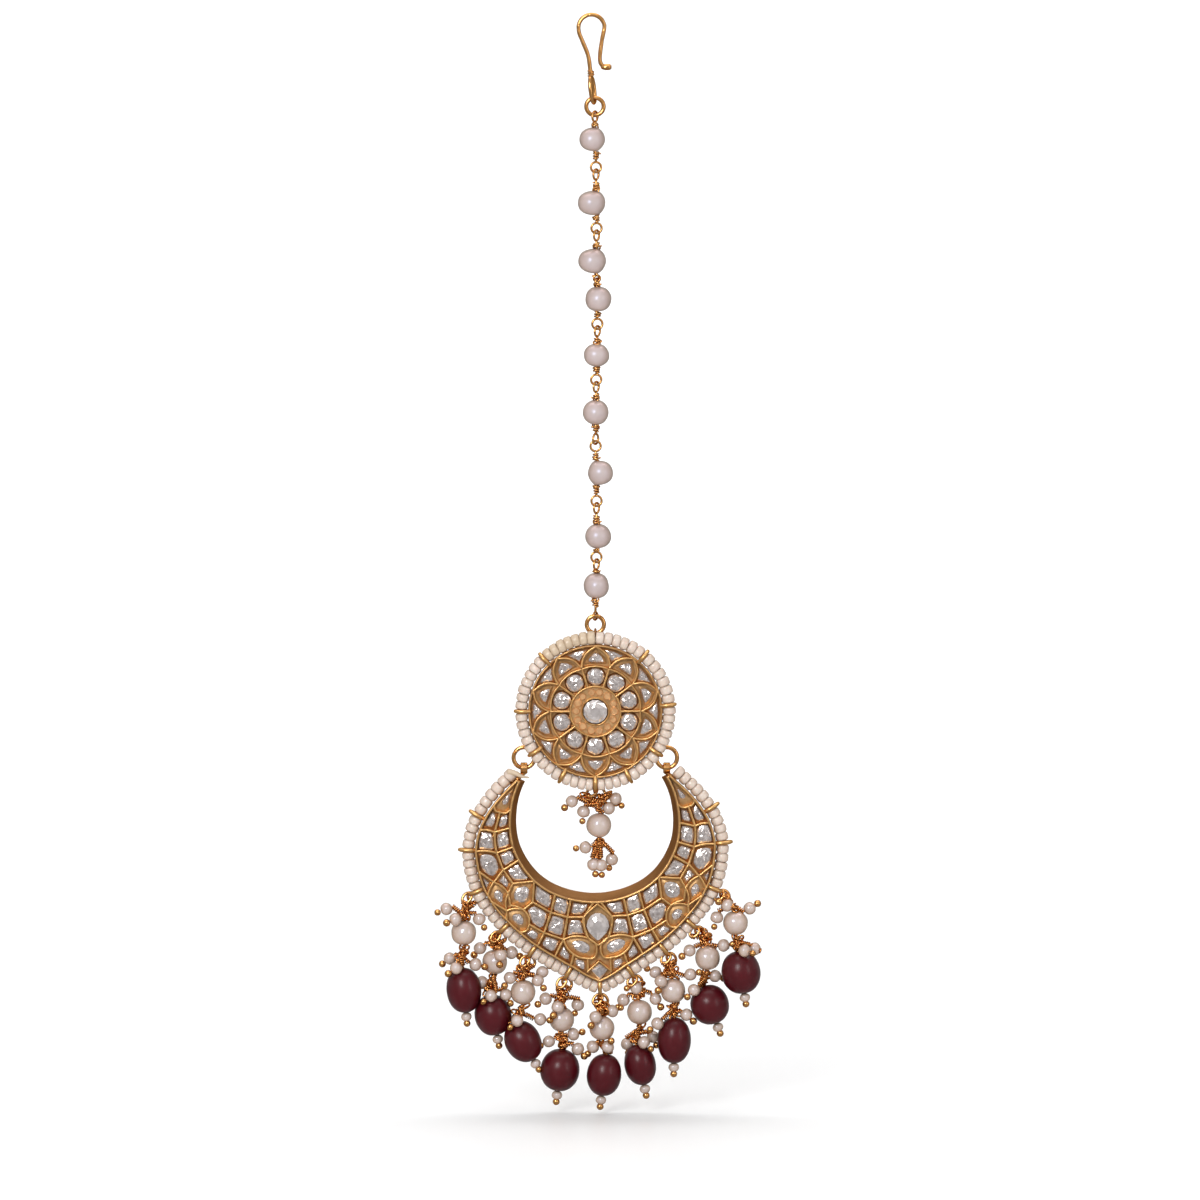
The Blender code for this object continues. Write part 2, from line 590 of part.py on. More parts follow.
def disc(parent):
    rim = [disc_point(degrees, DISC_RADIUS) for degrees in range(0, 360, 10)]
    outline = [(point.x, point.z) for point in rim]
    pocket_radius = DISC_CENTRE_STONE + GAP
    pocket = [(DISC_X + pocket_radius * math.cos(turn), DISC_Z + pocket_radius * math.sin(turn))
              for turn in turns(12)]
    cutters = [cell_cutter(cell, DISC_FRONT) for cell in disc_cells()]
    cutters.append(prism(pocket, DISC_FRONT - FUSE, DISC_FRONT + POCKET_DEPTH))
    shapes = [prism(outline, DISC_FRONT, DISC_BACK)]
    for degrees in DISC_STAPLES:
        outward = (disc_point(degrees, 1) - disc_point(degrees, 0)).normalized()
        shapes.append(staple(disc_point(degrees, DISC_RADIUS), outward, DISC_RIM_Y, DISC_STAPLE_REACH))
    ring_reach = DISC_CENTRE_DROP - 2 * DISC_RING
    shapes += lug(disc_point(SEAM, ring_reach), Vector((0, 0, 1)), ring_reach - DISC_RADIUS + FUSE)
    for degrees in SIDE_LUGS.values():
        reach = SIDE_RING_RADIUS - SIDE_RING
        outward = (disc_point(degrees, 1) - disc_point(degrees, 0)).normalized()
        shapes += lug(disc_point(degrees, reach), outward, reach - DISC_RADIUS + FUSE)
    eye_middle = Vector((DISC_X, 0, DISC_Z + CENTRE_DROP_TOP))
    shapes += lug(eye_middle, Vector((0, 0, -1)), -CENTRE_DROP_TOP - DISC_RADIUS + FUSE)
    add_node("disc_frame", shapes, "gold", (DISC_X, 0, DISC_SWING_Z), parent, cutters)
    gem = [(DISC_X + DISC_CENTRE_STONE * math.cos(turn), DISC_Z + DISC_CENTRE_STONE * math.sin(turn))
           for turn in turns(12)]
    floor = DISC_FRONT + POCKET_DEPTH
    add_node("disc_centre_stone", [stone(gem, floor - GAP, DISC_FRONT, DISC_FRONT - 0.40)], "clear_stone",
             (DISC_X, 0, DISC_Z), parent, smooth=False)

    def place(degrees):
        radius = DISC_RADIUS + RIM_SEAT
        return disc_point(degrees, radius), radius * math.pi / 180

    stops = sorted([degrees % 360 for degrees in DISC_STAPLES] + [SEAM])
    rim_string("disc_bead_rim", place, stops, (None, None), DISC_RIM_Y, 14, parent, (DISC_X, 0, DISC_Z))


def crescent(parent):
    steps = [degrees for degrees, _ in CRESCENT_OUTLINE]
    angles = [-degrees for degrees in steps[::-1]] + steps[1:]
    outer = [crescent_point(degrees, crescent_outer(degrees)) for degrees in angles]
    inner = [crescent_point(degrees, CRESCENT_INNER) for degrees in range(118, -119, -8)]
    outline = anticlockwise([(point.x, point.z) for point in outer + inner])
    cells = []
    for _, bulge, corners in CRESCENT_CELLS:
        for side in (1, -1):
            points = [crescent_share(side * degrees, share) for degrees, share in corners]
            cells.append(inset(with_mids(points, bulge, STONE_FACETS), CELL_WALL / 2))
    for _, bulge, corners in MIDDLE_CELLS:
        points = [crescent_share(degrees, share) for degrees, share in corners]
        cells.append(inset(with_mids(points, bulge, STONE_FACETS), CELL_WALL / 2))
    cutters = [cell_cutter(cell, CRESCENT_FRONT) for cell in cells]
    _, bulge, corners = CENTRE_CELL
    seat = with_mids([crescent_share(degrees, share) for degrees, share in corners], bulge, STONE_FACETS)
    seat = inset(seat, CELL_WALL / 2)
    cutters.append(prism(seat, CRESCENT_FRONT - FUSE, CRESCENT_FRONT + POCKET_DEPTH))
    shapes = [prism(outline, CRESCENT_FRONT, CRESCENT_BACK)]
    for degrees in CRESCENT_STAPLES:
        foot = crescent_point(degrees, crescent_outer(degrees))
        outward = rim_outward(degrees)
        shapes.append(staple(foot, outward, CRESCENT_RIM_Y, CRESCENT_STAPLE_REACH))
    for side, name in ((-1, "side_ring_left"), (1, "side_ring_right")):
        axis = Vector((SIDE_RINGS[name].x, 0, CRESCENT_SWING_Z))
        tip = crescent_point(side * 115, CRESCENT_INNER + 0.6)
        shapes.append(ring(axis, BAIL, BAIL_WIRE, EDGE_ON, LOOP_SEGMENTS))
        shapes.append(tube([axis - Vector((0, 0, BAIL)), tip], BAIL_WIRE / 2, LINK_SIDES))
    add_node("crescent_frame", shapes, "gold", (DISC_X, 0, CRESCENT_SWING_Z), parent, cutters)
    floor = CRESCENT_FRONT + POCKET_DEPTH
    gem = stone(inset(seat, GAP), floor - GAP, CRESCENT_FRONT, CRESCENT_FRONT - 0.50)
    add_node("crescent_centre_stone", [gem], "clear_stone", crescent_point(0, CRESCENT_INNER + 3), parent,
             smooth=False)

    def place(degrees):
        foot = crescent_point(degrees, crescent_outer(degrees))
        point = foot + rim_outward(degrees) * RIM_SEAT
        return point, crescent_outer(degrees) * math.pi / 180

    ends = (-CRESCENT_RIM_END, CRESCENT_RIM_END)
    rim_string("crescent_bead_rim", place, CRESCENT_STAPLES, ends, CRESCENT_RIM_Y, 9, parent,
               (CRESCENT_X, 0, CRESCENT_Z))


def rim_outward(degrees):
    """The direction square to the crescent's outer wall."""
    before = crescent_point(degrees - 3, crescent_outer(degrees - 3))
    after = crescent_point(degrees + 3, crescent_outer(degrees + 3))
    along = (after - before).normalized()
    return Vector((along.z, 0, -along.x))


def drop(number, row, parent):
    """A drop: its hanging loop, twisted wire, small pearls, pearl, maroon bead and end ball."""
    staple_number, to_pearl, to_bead, to_ball, width, height, depth = row
    degrees = CRESCENT_STAPLES[staple_number]
    foot = crescent_point(degrees, crescent_outer(degrees), CRESCENT_RIM_Y)
    hold = foot + rim_outward(degrees) * (RIM_SEAT + CRESCENT_STAPLE_REACH)
    hang = hold - Vector((0, 0, DROP_LOOP - LINK_WIRE / 2 - STAPLE_WIRE / 2 - GAP))
    pearl = hold + Vector((to_pearl[0], depth, to_pearl[1]))
    bead = pearl + Vector((to_bead[0], 0, to_bead[1]))
    ball = bead + Vector((to_ball[0], 0, to_ball[1]))
    first = (bead - pearl).normalized()
    second = (ball - bead).normalized()
    pearl_half = DROP_PEARL[1] / 2 + GAP
    bead_half = height / 2 + GAP
    wire = DROP_WIRE / 2
    neck = hang - Vector((0, 0, DROP_LOOP))
    over = pearl - first * (pearl_half + WRAP_REACH)
    under = pearl + first * (pearl_half + WRAP_REACH)
    above = bead - second * (bead_half + WRAP_REACH)
    reach_down = max((ball - bead).length, bead_half + END_PEARL + END_BALL)
    end = bead + second * reach_down
    path = [
        (neck, wire), (neck.lerp(over, 0.25), WIRE_MASS), (neck.lerp(over, 0.75), WIRE_MASS),
        (pearl - first * pearl_half, wire), (pearl + first * pearl_half, wire),
        (under.lerp(above, 0.3), WIRE_MASS), (under.lerp(above, 0.7), WIRE_MASS),
        (bead - second * bead_half, wire), (bead + second * bead_half, wire),
        (bead + second * (bead_half + GAP), END_PEARL * 0.6),
        (end - second * (END_BALL + END_PEARL * 0.7), END_PEARL),
        (end - second * END_BALL, END_PEARL * 0.5),
        (end, END_BALL),
        (end + second * END_BALL, END_BALL * 0.5),
    ]
    core = tube([point for point, _ in path], [size for _, size in path], LINK_SIDES)
    shapes = [core, ring(hang, DROP_LOOP, LINK_WIRE, FACING, LOOP_SEGMENTS)]
    add_node(f"drop_wire_{number + 1}", shapes, "copper_wire", hold, parent)
    bore = wire + BORE_SLACK
    pearl_body = bored_bead(pearl, *DROP_PEARL, bore, first)
    add_node(f"drop_pearl_{number + 1}", [pearl_body], "pearl", pearl, parent)
    add_node(f"drop_bead_{number + 1}", [bored_bead(bead, width, height, bore, second)], "maroon_bead", bead,
             parent)


def centre_drop(parent):
    """The small drop under the disc, which hangs from the disc's lowest lug."""
    hold = Vector((DISC_X, 0, DISC_Z + CENTRE_DROP_TOP))
    pearl = Vector((DISC_X + CENTRE_DROP_PEARL[0], 0, DISC_Z + CENTRE_DROP_PEARL[1]))
    tip = Vector((DISC_X + CENTRE_DROP_TIP[0], 0, DISC_Z + CENTRE_DROP_TIP[1]))
    hang = hold - Vector((0, 0, DROP_LOOP))
    half = DROP_PEARL[1] / 2 + GAP
    wire = DROP_WIRE / 2
    neck = hang - Vector((0, 0, DROP_LOOP))
    down = Vector((0, 0, -1))
    path = [
        (neck, wire), (neck.lerp(pearl, 0.2), WIRE_MASS), (neck.lerp(pearl, 0.35), WIRE_MASS),
        (pearl - down * (half + WRAP_REACH), wire * 1.4),
        (pearl - down * half, wire),
        (pearl + down * half, wire),
        (pearl + down * (half + WRAP_REACH), wire * 1.4),
        (pearl + down * (half + 0.9), WIRE_MASS),
        (tip, wire),
    ]
    core = tube([point for point, _ in path], [size for _, size in path], WIRE_SIDES)
    shapes = [core, ring(hang, DROP_LOOP, LINK_WIRE, FACING, LOOP_SEGMENTS)]
    add_node("centre_drop_wire", shapes, "copper_wire", hold, parent)
    add_node("centre_drop_pearl", [bored_bead(pearl, *DROP_PEARL, wire + BORE_SLACK, down)], "pearl", pearl,
             parent)


def swing(name, x, z, parent=None):
    """An empty on a swing's axis, which carries what swings there."""
    empty = bpy.data.objects.new(name, None)
    empty.location = Vector((x, 0, z)) * MM
    bpy.context.scene.collection.objects.link(empty)
    if parent:
        empty.parent = parent
        empty.matrix_parent_inverse = Matrix.Translation(-parent.location)
    return empty


def main():
    clear_scene()
    eye_foot = hair_hook()
    ring_top = eye_foot.z + HOOK_WIRE / 2 + 2 * GAP + RING_WIRE / 2
    ring_centre = Vector((HOOK_RING_X, 0, ring_top - HOOK_RING))
    add_node("hook_ring", [ring(ring_centre, HOOK_RING, RING_WIRE, FACING)], "gold", ring_centre)
    chain(ring_centre - Vector((0, 0, HOOK_RING)))
    disc_swing = swing("disc_swing", DISC_X, DISC_SWING_Z)
    disc_ring = Vector((DISC_X, 0, DISC_SWING_Z - DISC_RING))
    add_node("disc_ring", [ring(disc_ring, DISC_RING, RING_WIRE, FACING)], "gold",
             (DISC_X, 0, DISC_SWING_Z), disc_swing)
    disc(disc_swing)
    for name, centre in SIDE_RINGS.items():
        add_node(name, [ring(centre, SIDE_RING, RING_WIRE, FACING)], "gold", centre, disc_swing)
    centre_drop(disc_swing)
    crescent_swing = swing("crescent_swing", DISC_X, CRESCENT_SWING_Z, disc_swing)
    crescent(crescent_swing)
    for number, row in enumerate(DROPS):
        drop(number, row, crescent_swing)


main()
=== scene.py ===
"""Looks of the maang tikka: wires, pearls, seed beads, foiled stones and their settings.

Lengths are millimetres until a mesh is made. X is to the right, -Y is the front and Z is up.
"""

import math
import random

import bpy
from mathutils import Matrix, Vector, noise


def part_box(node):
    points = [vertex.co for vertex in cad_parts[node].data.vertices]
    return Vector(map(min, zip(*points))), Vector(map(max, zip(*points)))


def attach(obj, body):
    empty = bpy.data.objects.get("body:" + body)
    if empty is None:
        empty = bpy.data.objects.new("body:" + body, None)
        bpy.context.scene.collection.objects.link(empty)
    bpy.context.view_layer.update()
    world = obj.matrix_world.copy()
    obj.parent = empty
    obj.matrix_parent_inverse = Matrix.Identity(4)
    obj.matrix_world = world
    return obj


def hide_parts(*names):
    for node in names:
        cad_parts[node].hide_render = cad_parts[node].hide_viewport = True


MM = 0.001
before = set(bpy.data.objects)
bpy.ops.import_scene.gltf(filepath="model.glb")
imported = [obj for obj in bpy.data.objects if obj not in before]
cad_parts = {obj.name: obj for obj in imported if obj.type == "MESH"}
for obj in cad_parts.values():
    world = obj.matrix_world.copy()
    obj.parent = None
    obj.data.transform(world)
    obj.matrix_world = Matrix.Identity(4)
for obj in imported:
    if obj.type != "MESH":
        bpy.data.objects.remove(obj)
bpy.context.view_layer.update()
RIGHT, AWAY, UP = Vector((1, 0, 0)), Vector((0, 1, 0)), Vector((0, 0, 1))

# Photo: what a pixel of it measures, and where its middle lies on the object
PHOTO_SIDE = 1200
PIXEL = 0.155
PHOTO_MIDDLE = Vector((1.32, 0, -90.8))
CAMERA_RISE = 7.0
CAMERA_AWAY = 3000.0
SENSOR = 36.0

# Wire
LINK_WIRE = 0.19
DROP_WIRE = 0.152
PIN_WIRE = 0.128
RING_WIRE = 0.30
STAPLE_WIRE = 0.35
EYE_WIRE = 0.19
WIRE_SIDES = 8
GAP = 0.10

# Degrees between faces up to which a mesh is shaded as smooth
SMOOTH, ROUND_WIRE, ROUND_WALL, ROUND_PEARL, ROUND_SEED, CUT = 35, 75, 60, 50, 40, 0

# Disc
DISC_X, DISC_Z = 0.60, -107.98
DISC_RADIUS = 10.45
DISC_FRONT, DISC_BACK = -2.20, 2.00
DISC_RIM_Y = -1.45
DISC_SEAM = 90
PETALS = 10
CENTRE_STONE = 1.86
CENTRE_BEZEL = 2.10
PEACH_STONES = 14
PEACH_CIRCLE = 3.02
PEACH_STONE = 0.60
PEACH_WALL = 3.92
ROUND_CIRCLE = 5.43
ROUND_STONE = 1.36
ROUND_WELL = 1.60
ARCH_FOOT = 6.92
ARCH_RISE = 0.16
PETAL_TIP = 10.15
PETAL_SHOULDER = 7.15
PETAL_SIDE_BOW = 0.17
RIM_FLARE = 0.40
DISC_RIM_WALL = 0.34
DISC_WALL = 0.36
CENTRE_DROP_TOP = -12.45
HOOK_RING, DISC_RING, SIDE_RING = 1.35, 1.34, 1.62
RING_REACH = 14.70 - DISC_RING  # from the disc's middle to the foot of its ring
SIDE_LUGS = (-146, -34)
SIDE_RING_REACH = 13.35 - SIDE_RING
AGED_END = 132  # degrees at which the creamier seed beads beside the seam end

# Settings, as depths behind the front of the walls
WALL_FOOT = 1.05
BED_EDGE = 0.72
WELL_EDGE = 0.95
GIRDLE = 0.45
CROWN = 0.24

# Strings of seed beads
SEED_WIDTH = 2.10
SEED_LENGTH = 1.28
SEED_HOLE = 0.42
SEED_SEAT = 1.00

# Crescent, in degrees from its lowest point and shares of the way across the band
LEAN = 1.8
SWING_Z = -117.065
CRESCENT_X, CRESCENT_Z = 0.47, SWING_Z - 7.83
CRESCENT_FRONT, CRESCENT_BACK = -2.10, 1.90
CRESCENT_RIM_Y = -0.50
INNER = 13.20
INNER_FLARE = 0.80
CRESCENT_RIM_WALL, CRESCENT_WALL = 0.40, 0.40
SIDE_RING_X = {-1: -10.47, 1: 11.67}
BAIL = 0.75
CELL_INSET = 0.25  # from the outside of the rim to where share 1 lies, and the same at the inner wall
END = 118.4  # degrees at which the tips are closed
LONGEST = 25.50
OUTLINE = [
    # degrees from the lowest point, outer radius as a share of LONGEST
    (0, 1.000), (5, 0.963), (10, 0.922), (18, 0.883), (26, 0.859), (35, 0.838), (43, 0.824), (50, 0.818),
    (60, 0.802), (68, 0.780), (77, 0.755), (84, 0.722), (90, 0.688), (96, 0.650), (102, 0.614),
    (108, 0.580), (114, 0.553), (119, 0.537),
]
JOINS = {
    # where walls of the crescent meet: degrees, share across
    "tip": (117, 0.50), "t1": (99.7, 1.0), "t2": (96.3, 0.50), "t3": (98.6, 0.0),
    "a1": (86.5, 1.0), "a2": (84.5, 0.49), "a3": (86.0, 0.0),
    "b1": (76.6, 1.0), "b2": (72.8, 0.45), "b3": (73.0, 0.0),
    "c1": (67.2, 1.0), "c2": (62.7, 0.42), "c3": (63.4, 0.0), "c4": (59.7, 0.74),
    "d1": (56.3, 1.0), "d2": (51.0, 0.60), "d3": (53.5, 0.39), "d4": (53.0, 1.0),
    "e1": (46.0, 0.0), "e2": (38.4, 0.36), "e3": (39.8, 0.60), "e4": (46.0, 0.73),
    "f2": (45.5, 0.87), "f3": (43.0, 1.0), "g1": (33.5, 0.76), "g2": (35.2, 1.0),
    "h1": (25.6, 0.73), "h2": (25.9, 1.0), "i1": (16.2, 0.67), "i2": (17.8, 1.0),
    "j1": (10.5, 0.82), "j2": (11.0, 1.0), "k1": (4.6, 0.77), "k2": (4.3, 0.96),
    "l1": (29.4, 0.0), "l2": (26.7, 0.34), "l3": (18.3, 0.0), "l4": (17.2, 0.30), "l5": (2.6, 0.0),
    "l6": (8.0, 0.22), "m3": (0.9, 0.65),
    "o1": (0, 0.02), "o2": (7.2, 0.36), "o3": (4.8, 0.49), "o4": (0, 0.545),
}
CELLS = [
    # name, its joins in order, size of its stone in the cell, roundness of the stone
    ("tip", "tip t1 t2 t3", 0.50, 0.9),
    ("upper_outer", "t1 t2 a2 a1", 0.66, 0.5),
    ("upper_inner", "t2 t3 a3 a2", 0.66, 0.5),
    ("middle_outer", "a1 a2 b2 b1", 0.82, 0.2),
    ("middle_inner", "a2 a3 b3 b2", 0.80, 0.3),
    ("lower_outer", "b1 b2 c2 c4 c1", 0.80, 0.5),
    ("lower_inner", "b2 b3 c3 c2", 0.72, 0.3),
    ("rim_triangle", "c1 c4 d1", 0.50, 0.2),
    ("diamond", "c2 d3 d2 c4", 0.62, 0.3),
    ("shoulder", "c2 c3 e1 d3", 0.78, 0.3),
    ("round", "d3 e1 e2 e3 e4 d2", 0.70, 1.0),
    ("pear", "c4 d2 f2 d4 d1", 0.58, 0.9),
    ("leaf", "f2 e3 g1 g2 f3", 0.56, 0.9),
    ("centre_outer", "e3 e2 l2 h1 g1", 0.80, 0.4),
    ("bottom_outer", "g2 g1 h1 h2", 0.64, 0.8),
    ("bottom_middle", "h1 i1 i2 h2", 0.74, 0.3),
    ("bottom_triangle", "i1 j1 j2 i2", 0.66, 0.4),
    ("bottom_inner", "j1 k1 k2 j2", 0.66, 0.7),
    ("marquise", "i1 o3 m3 k1 j1", 0.66, 1.0),
    ("top_outer", "e1 l1 l2 e2", 0.78, 0.2),
    ("top_middle", "l1 l3 l4 l2", 0.82, 0.15),
    ("top_inner", "l3 l5 l6 l4", 0.74, 0.2),
    ("centre_middle", "l2 l4 i1 h1", 0.80, 0.2),
    ("centre_inner", "l4 l6 o2 o3 i1", 0.78, 0.2),
]
# Cells with tan beds; the beds of the other cells are darker gold, painted recess shade
TAN_CELLS = ["tip", "pear", "leaf", "marquise", "round", "rim_triangle", "bottom_outer", "bottom_inner",
             "diamond"]
BOWED_WALLS = {
    # walls that bow, as a share of their length, to the left as one walks from the first join to the second
    ("t1", "t2"): 0.24, ("t2", "t3"): 0.20, ("d2", "f2"): 0.10, ("c4", "d1"): 0.05, ("c4", "d2"): -0.10,
    ("d1", "c4"): 0.0, ("e3", "g1"): -0.12, ("g1", "g2"): -0.24, ("e4", "e3"): -0.06, ("f2", "e3"): -0.10,
    ("i1", "o3"): -0.10, ("o3", "m3"): -0.20, ("m3", "k1"): -0.26, ("k1", "j1"): -0.08, ("j1", "i1"): -0.10,
    ("a1", "a2"): -0.08, ("b1", "b2"): -0.06, ("a2", "b2"): 0.03,
}
RIM_STARTS = ("t1", "a1", "b1", "c1", "d1", "d4", "f3", "g2", "h2", "i2", "j2", "k2")
INNER_STARTS = ("t3", "a3", "b3", "c3", "e1", "l1", "l3", "l5")
INNER_EDGE = [
    # degrees from the lowest point, what the front of the inner wall stands in from INNER
    (0, 0.46), (12, 0.44), (24, 0.30), (36, 0.10), (46, 0.0), (72, 0.02), (84, 0.18), (96, 0.30), (119, 0.30),
]
MIDDLE_STONE = (3.50, 4.30)  # pear stone: width, length

# Staples, by degrees. Those of the crescent carry the drops
DISC_STAPLES = [49, 5, -34, -63, -90, -117, -146, 180, 134]
DISC_STAPLE_END = 1.95
CRESCENT_STAPLES = [-92, -77, -59.5, -41, -26.5, -10.6, 0, 10.4, 25.5, 40.3, 57.4, 76.8, 92]
CRESCENT_STAPLE_END = 2.31
STAPLE_HALF = 0.54
SEED_STRING_ENDS = (-123, 120)
STRING_WISP = [(-12.7, -0.85, -117.6), (-11.7, -1.35, -117.75), (-10.7, -1.55, -118.2), (-9.7, -1.6, -118.35)]
WISP_WIDE, WISP_THINNER = 0.76, 0.052

# Drops: small pearls by x and z from the drop's pearl, the side they lean to, and their end ball's x and z
FRONT, BACK = -1, 1
SMALL_PEARL = 1.0
END_BALL = 0.55
LOOP_HALF = 0.92
LOOP_SPREAD = 0.45
STEM_GAP = 0.08  # between the end of a bead and the wire wound beside it
DROP_PEARL_WIDTH, DROP_PEARL_HEIGHT = 3.90, 3.80
TINY_PEARL_WIDTH, TINY_PEARL_HEIGHT = 1.66, 1.40
DROPS = [
    # staple, pearl from its end, bead from the pearl, ball from the bead, bead's width and height, depth
    (2, (-0.87, -6.01), (-0.02, -8.98), (0.51, -5.31), 5.27, 6.87, -0.30),
    (3, (-0.50, -4.59), (-0.28, -8.32), (0.84, -4.37), 5.60, 6.20, 0.50),
    (4, (-0.67, -5.40), (0.00, -7.73), (2.20, -3.90), 5.40, 6.50, -0.30),
    (5, (-0.37, -6.40), (-0.28, -7.96), (-0.50, -4.29), 5.90, 6.40, 0.50),
    (6, (0.28, -4.97), (0.33, -7.37), (-0.60, -4.84), 5.20, 6.40, -0.60),
    (7, (0.74, -5.53), (0.11, -8.29), (0.90, -4.61), 4.75, 6.25, 0.50),
    (8, (0.71, -5.62), (0.19, -7.76), (-0.06, -4.97), 5.10, 7.00, -0.30),
    (9, (1.64, -4.68), (0.36, -7.34), (1.63, -4.53), 5.80, 6.00, 0.30),
    (10, (2.11, -4.84), (0.85, -7.75), (0.70, -4.39), 5.90, 6.50, -0.30),
]
TOP_PEARLS = [
    [(-2.7, 3.8, FRONT, -1.4, -0.5), (-1.3, 2.3, FRONT, -1.25, -0.45), (2.4, 2.2, FRONT, 0.7, -1.15)],
    [(-2.3, 2.1, BACK, -0.8, -0.95), (0.9, 1.4, FRONT, -0.1, -1.0), (2.6, 1.4, BACK, 1.0, -0.5)],
    [(-2.0, 2.3, FRONT, -0.85, -1.2), (2.3, 1.9, FRONT, 0.9, -1.15), (3.0, 3.1, BACK, 0.8, 0.6)],
    [(-2.5, 3.3, FRONT, -1.1, -0.75), (-0.6, 2.2, FRONT, -0.65, -1.2), (2.5, 2.2, BACK, -0.4, -1.2)],
    [(-1.0, 2.0, FRONT, -0.55, -1.0), (1.6, 2.6, BACK, 0.9, 0.3)],
    [(-0.5, 3.8, FRONT, -1.45, 0.0), (-2.5, 1.8, BACK, -0.8, -1.2), (2.5, 2.1, FRONT, 0.8, -1.2)],
    [(-1.9, 1.7, FRONT, -0.4, -1.4), (2.7, 2.6, FRONT, 1.0, 0.3), (-2.7, 2.8, BACK, -1.0, 0.4)],
    [(-2.8, 1.2, FRONT, -1.1, -0.8), (2.5, 2.0, FRONT, 1.0, 0.2)],
    [(-1.3, 2.8, FRONT, -1.25, 0.6), (-2.9, 0.9, FRONT, -0.4, -1.4), (2.2, 2.2, BACK, 0.9, 0.5)],
]
LOW_PEARLS = [
    [(-2.2, -4.1, BACK, -1.1, -0.85), (-1.2, -5.3, FRONT, -1.2, -0.8), (1.8, -4.9, FRONT, 1.4, -0.3)],
    [(-0.6, -5.0, FRONT, -0.95, -0.7), (1.7, -5.0, FRONT, 0.7, -1.25), (-2.0, -3.3, BACK, -0.9, 0.3)],
    [(-0.9, -4.2, FRONT, -1.05, -1.0), (2.7, -4.2, FRONT, 1.45, -0.1)],
    [(-2.0, -3.4, FRONT, -1.3, -0.6), (1.8, -2.4, BACK, 1.0, 0.2), (2.5, -4.6, FRONT, 1.0, -1.05)],
    [(-1.4, -3.0, BACK, -0.6, -0.9), (0.9, -2.9, FRONT, 0.2, 0.4)],
    [(-1.9, -5.2, BACK, 0.2, -1.4), (0.7, -4.6, FRONT, 1.0, -0.9), (2.1, -4.0, BACK, 0.5, -1.3)],
    [(-2.4, -5.0, FRONT, -1.05, -0.8), (2.1, -3.7, FRONT, 0.9, -0.8)],
    [(-2.1, -4.8, FRONT, -1.0, -1.0), (1.2, -2.9, BACK, 0.9, -0.3)],
    [(1.4, -4.1, FRONT, 0.6, -0.15), (3.0, -4.2, BACK, -1.0, 0.3)],
]
CENTRE_TOP_PEARLS = [
    (-4.2, 3.8, FRONT, -1.2, -1.0), (-2.4, 2.2, FRONT, -0.15, -1.35), (2.6, 4.1, BACK, 0.9, -1.1),
    (1.5, 2.6, BACK, 0.6, 0.4),
]
CENTRE_LOW_PEARLS = [
    (-2.1, -3.4, FRONT, -1.4, -0.1), (-0.85, -6.1, FRONT, 0.3, -1.4), (0.35, -6.2, FRONT, 0.1, -1.4),
    (2.0, -5.4, BACK, -0.4, -1.35),
]

# Hook and chain
HOOK_WIRE = 0.28
HOOK_DRAWN = 0.33
HOOK_BEND = 2.0
HOOK_BACK_LEG = [(-1.86, -2.70), (-1.47, -3.65), (-0.54, -6.00), (-0.20, -8.20), (-0.08, -9.40)]
HOOK_FRONT_LEG = [(2.30, -7.90), (1.62, -7.55), (1.32, -6.86), (1.35, -5.68), (1.63, -3.65)]
HOOK_EYE_FOOT = Vector((0.38, 0, -13.40))
HOOK_EYE_HALF = 0.95
HOOK_TIP = [0.33, 0.38, 0.44, 0.50, 0.50, 0.504, 0.46]
CHAIN_PEARLS = [
    # x, z, width, height
    (0.12, -19.05, 4.01, 3.69), (0.03, -28.94, 4.31, 3.81), (0.12, -37.98, 4.31, 3.90),
    (1.07, -43.88, 4.09, 3.85), (0.78, -52.61, 4.01, 3.55), (0.65, -61.53, 4.03, 3.83),
    (1.41, -70.93, 3.92, 3.83), (1.04, -80.83, 4.03, 3.78), (0.73, -88.58, 3.98, 3.95),
]
LINK_X = [0.70, 0.78, 0.85, 0.91, 0.73, 0.64, 0.78, 0.76]
LINK_LOOP = 0.80
LINK_END_LOOP = 0.60
LINK_WRAP = 0.40
LEAST_WRAP = 0.08
LOWEST_LINK = Vector((0.60, 0, -93.28))
TURNED_LINK = 6
TURNED = Vector((0.50, 0.866, 0))
NEARLY_FACING = Vector((0.985, 0.17, 0))

# Floor and light
WORLD_LOW, WORLD_HIGH = 0.38, 0.60
WORLD_SEEN = 0.94
FLOOR_Z = -171.2
FLOOR_FRONT, FLOOR_BACK, WALL_TOP, FLOOR_HALF, COVE = -900.0, 420.0, 900.0, 900.0, 160.0
LIGHTS = [
    # name, place, size, power, what it looks at
    ("key", (-190, -560, 130), (190, 230), 2.1, PHOTO_MIDDLE),
    ("fill", (420, -400, 20), (120, 320), 0.35, PHOTO_MIDDLE),
    ("top", (0, -60, 420), (420, 200), 0.5, PHOTO_MIDDLE),
    ("back", (0, 150, 420), (900, 200), 2.4, (0, 420, -80)),
]


# Meshes


def turns(count, start=0.0):
    return [start + math.tau * number / count for number in range(count)]


def around(turn, first, second):
    """A direction in the plane of two others."""
    return math.cos(turn) * first + math.sin(turn) * second


def facing(turn):
    """A direction in the plane of the front."""
    return Vector((math.cos(turn), 0, math.sin(turn)))


def frame_of(axis):
    """Two directions square to the axis."""
    across = axis.orthogonal().normalized()
    return across, axis.cross(across)


def moved(points, depth):
    return [point + AWAY * depth for point in points]


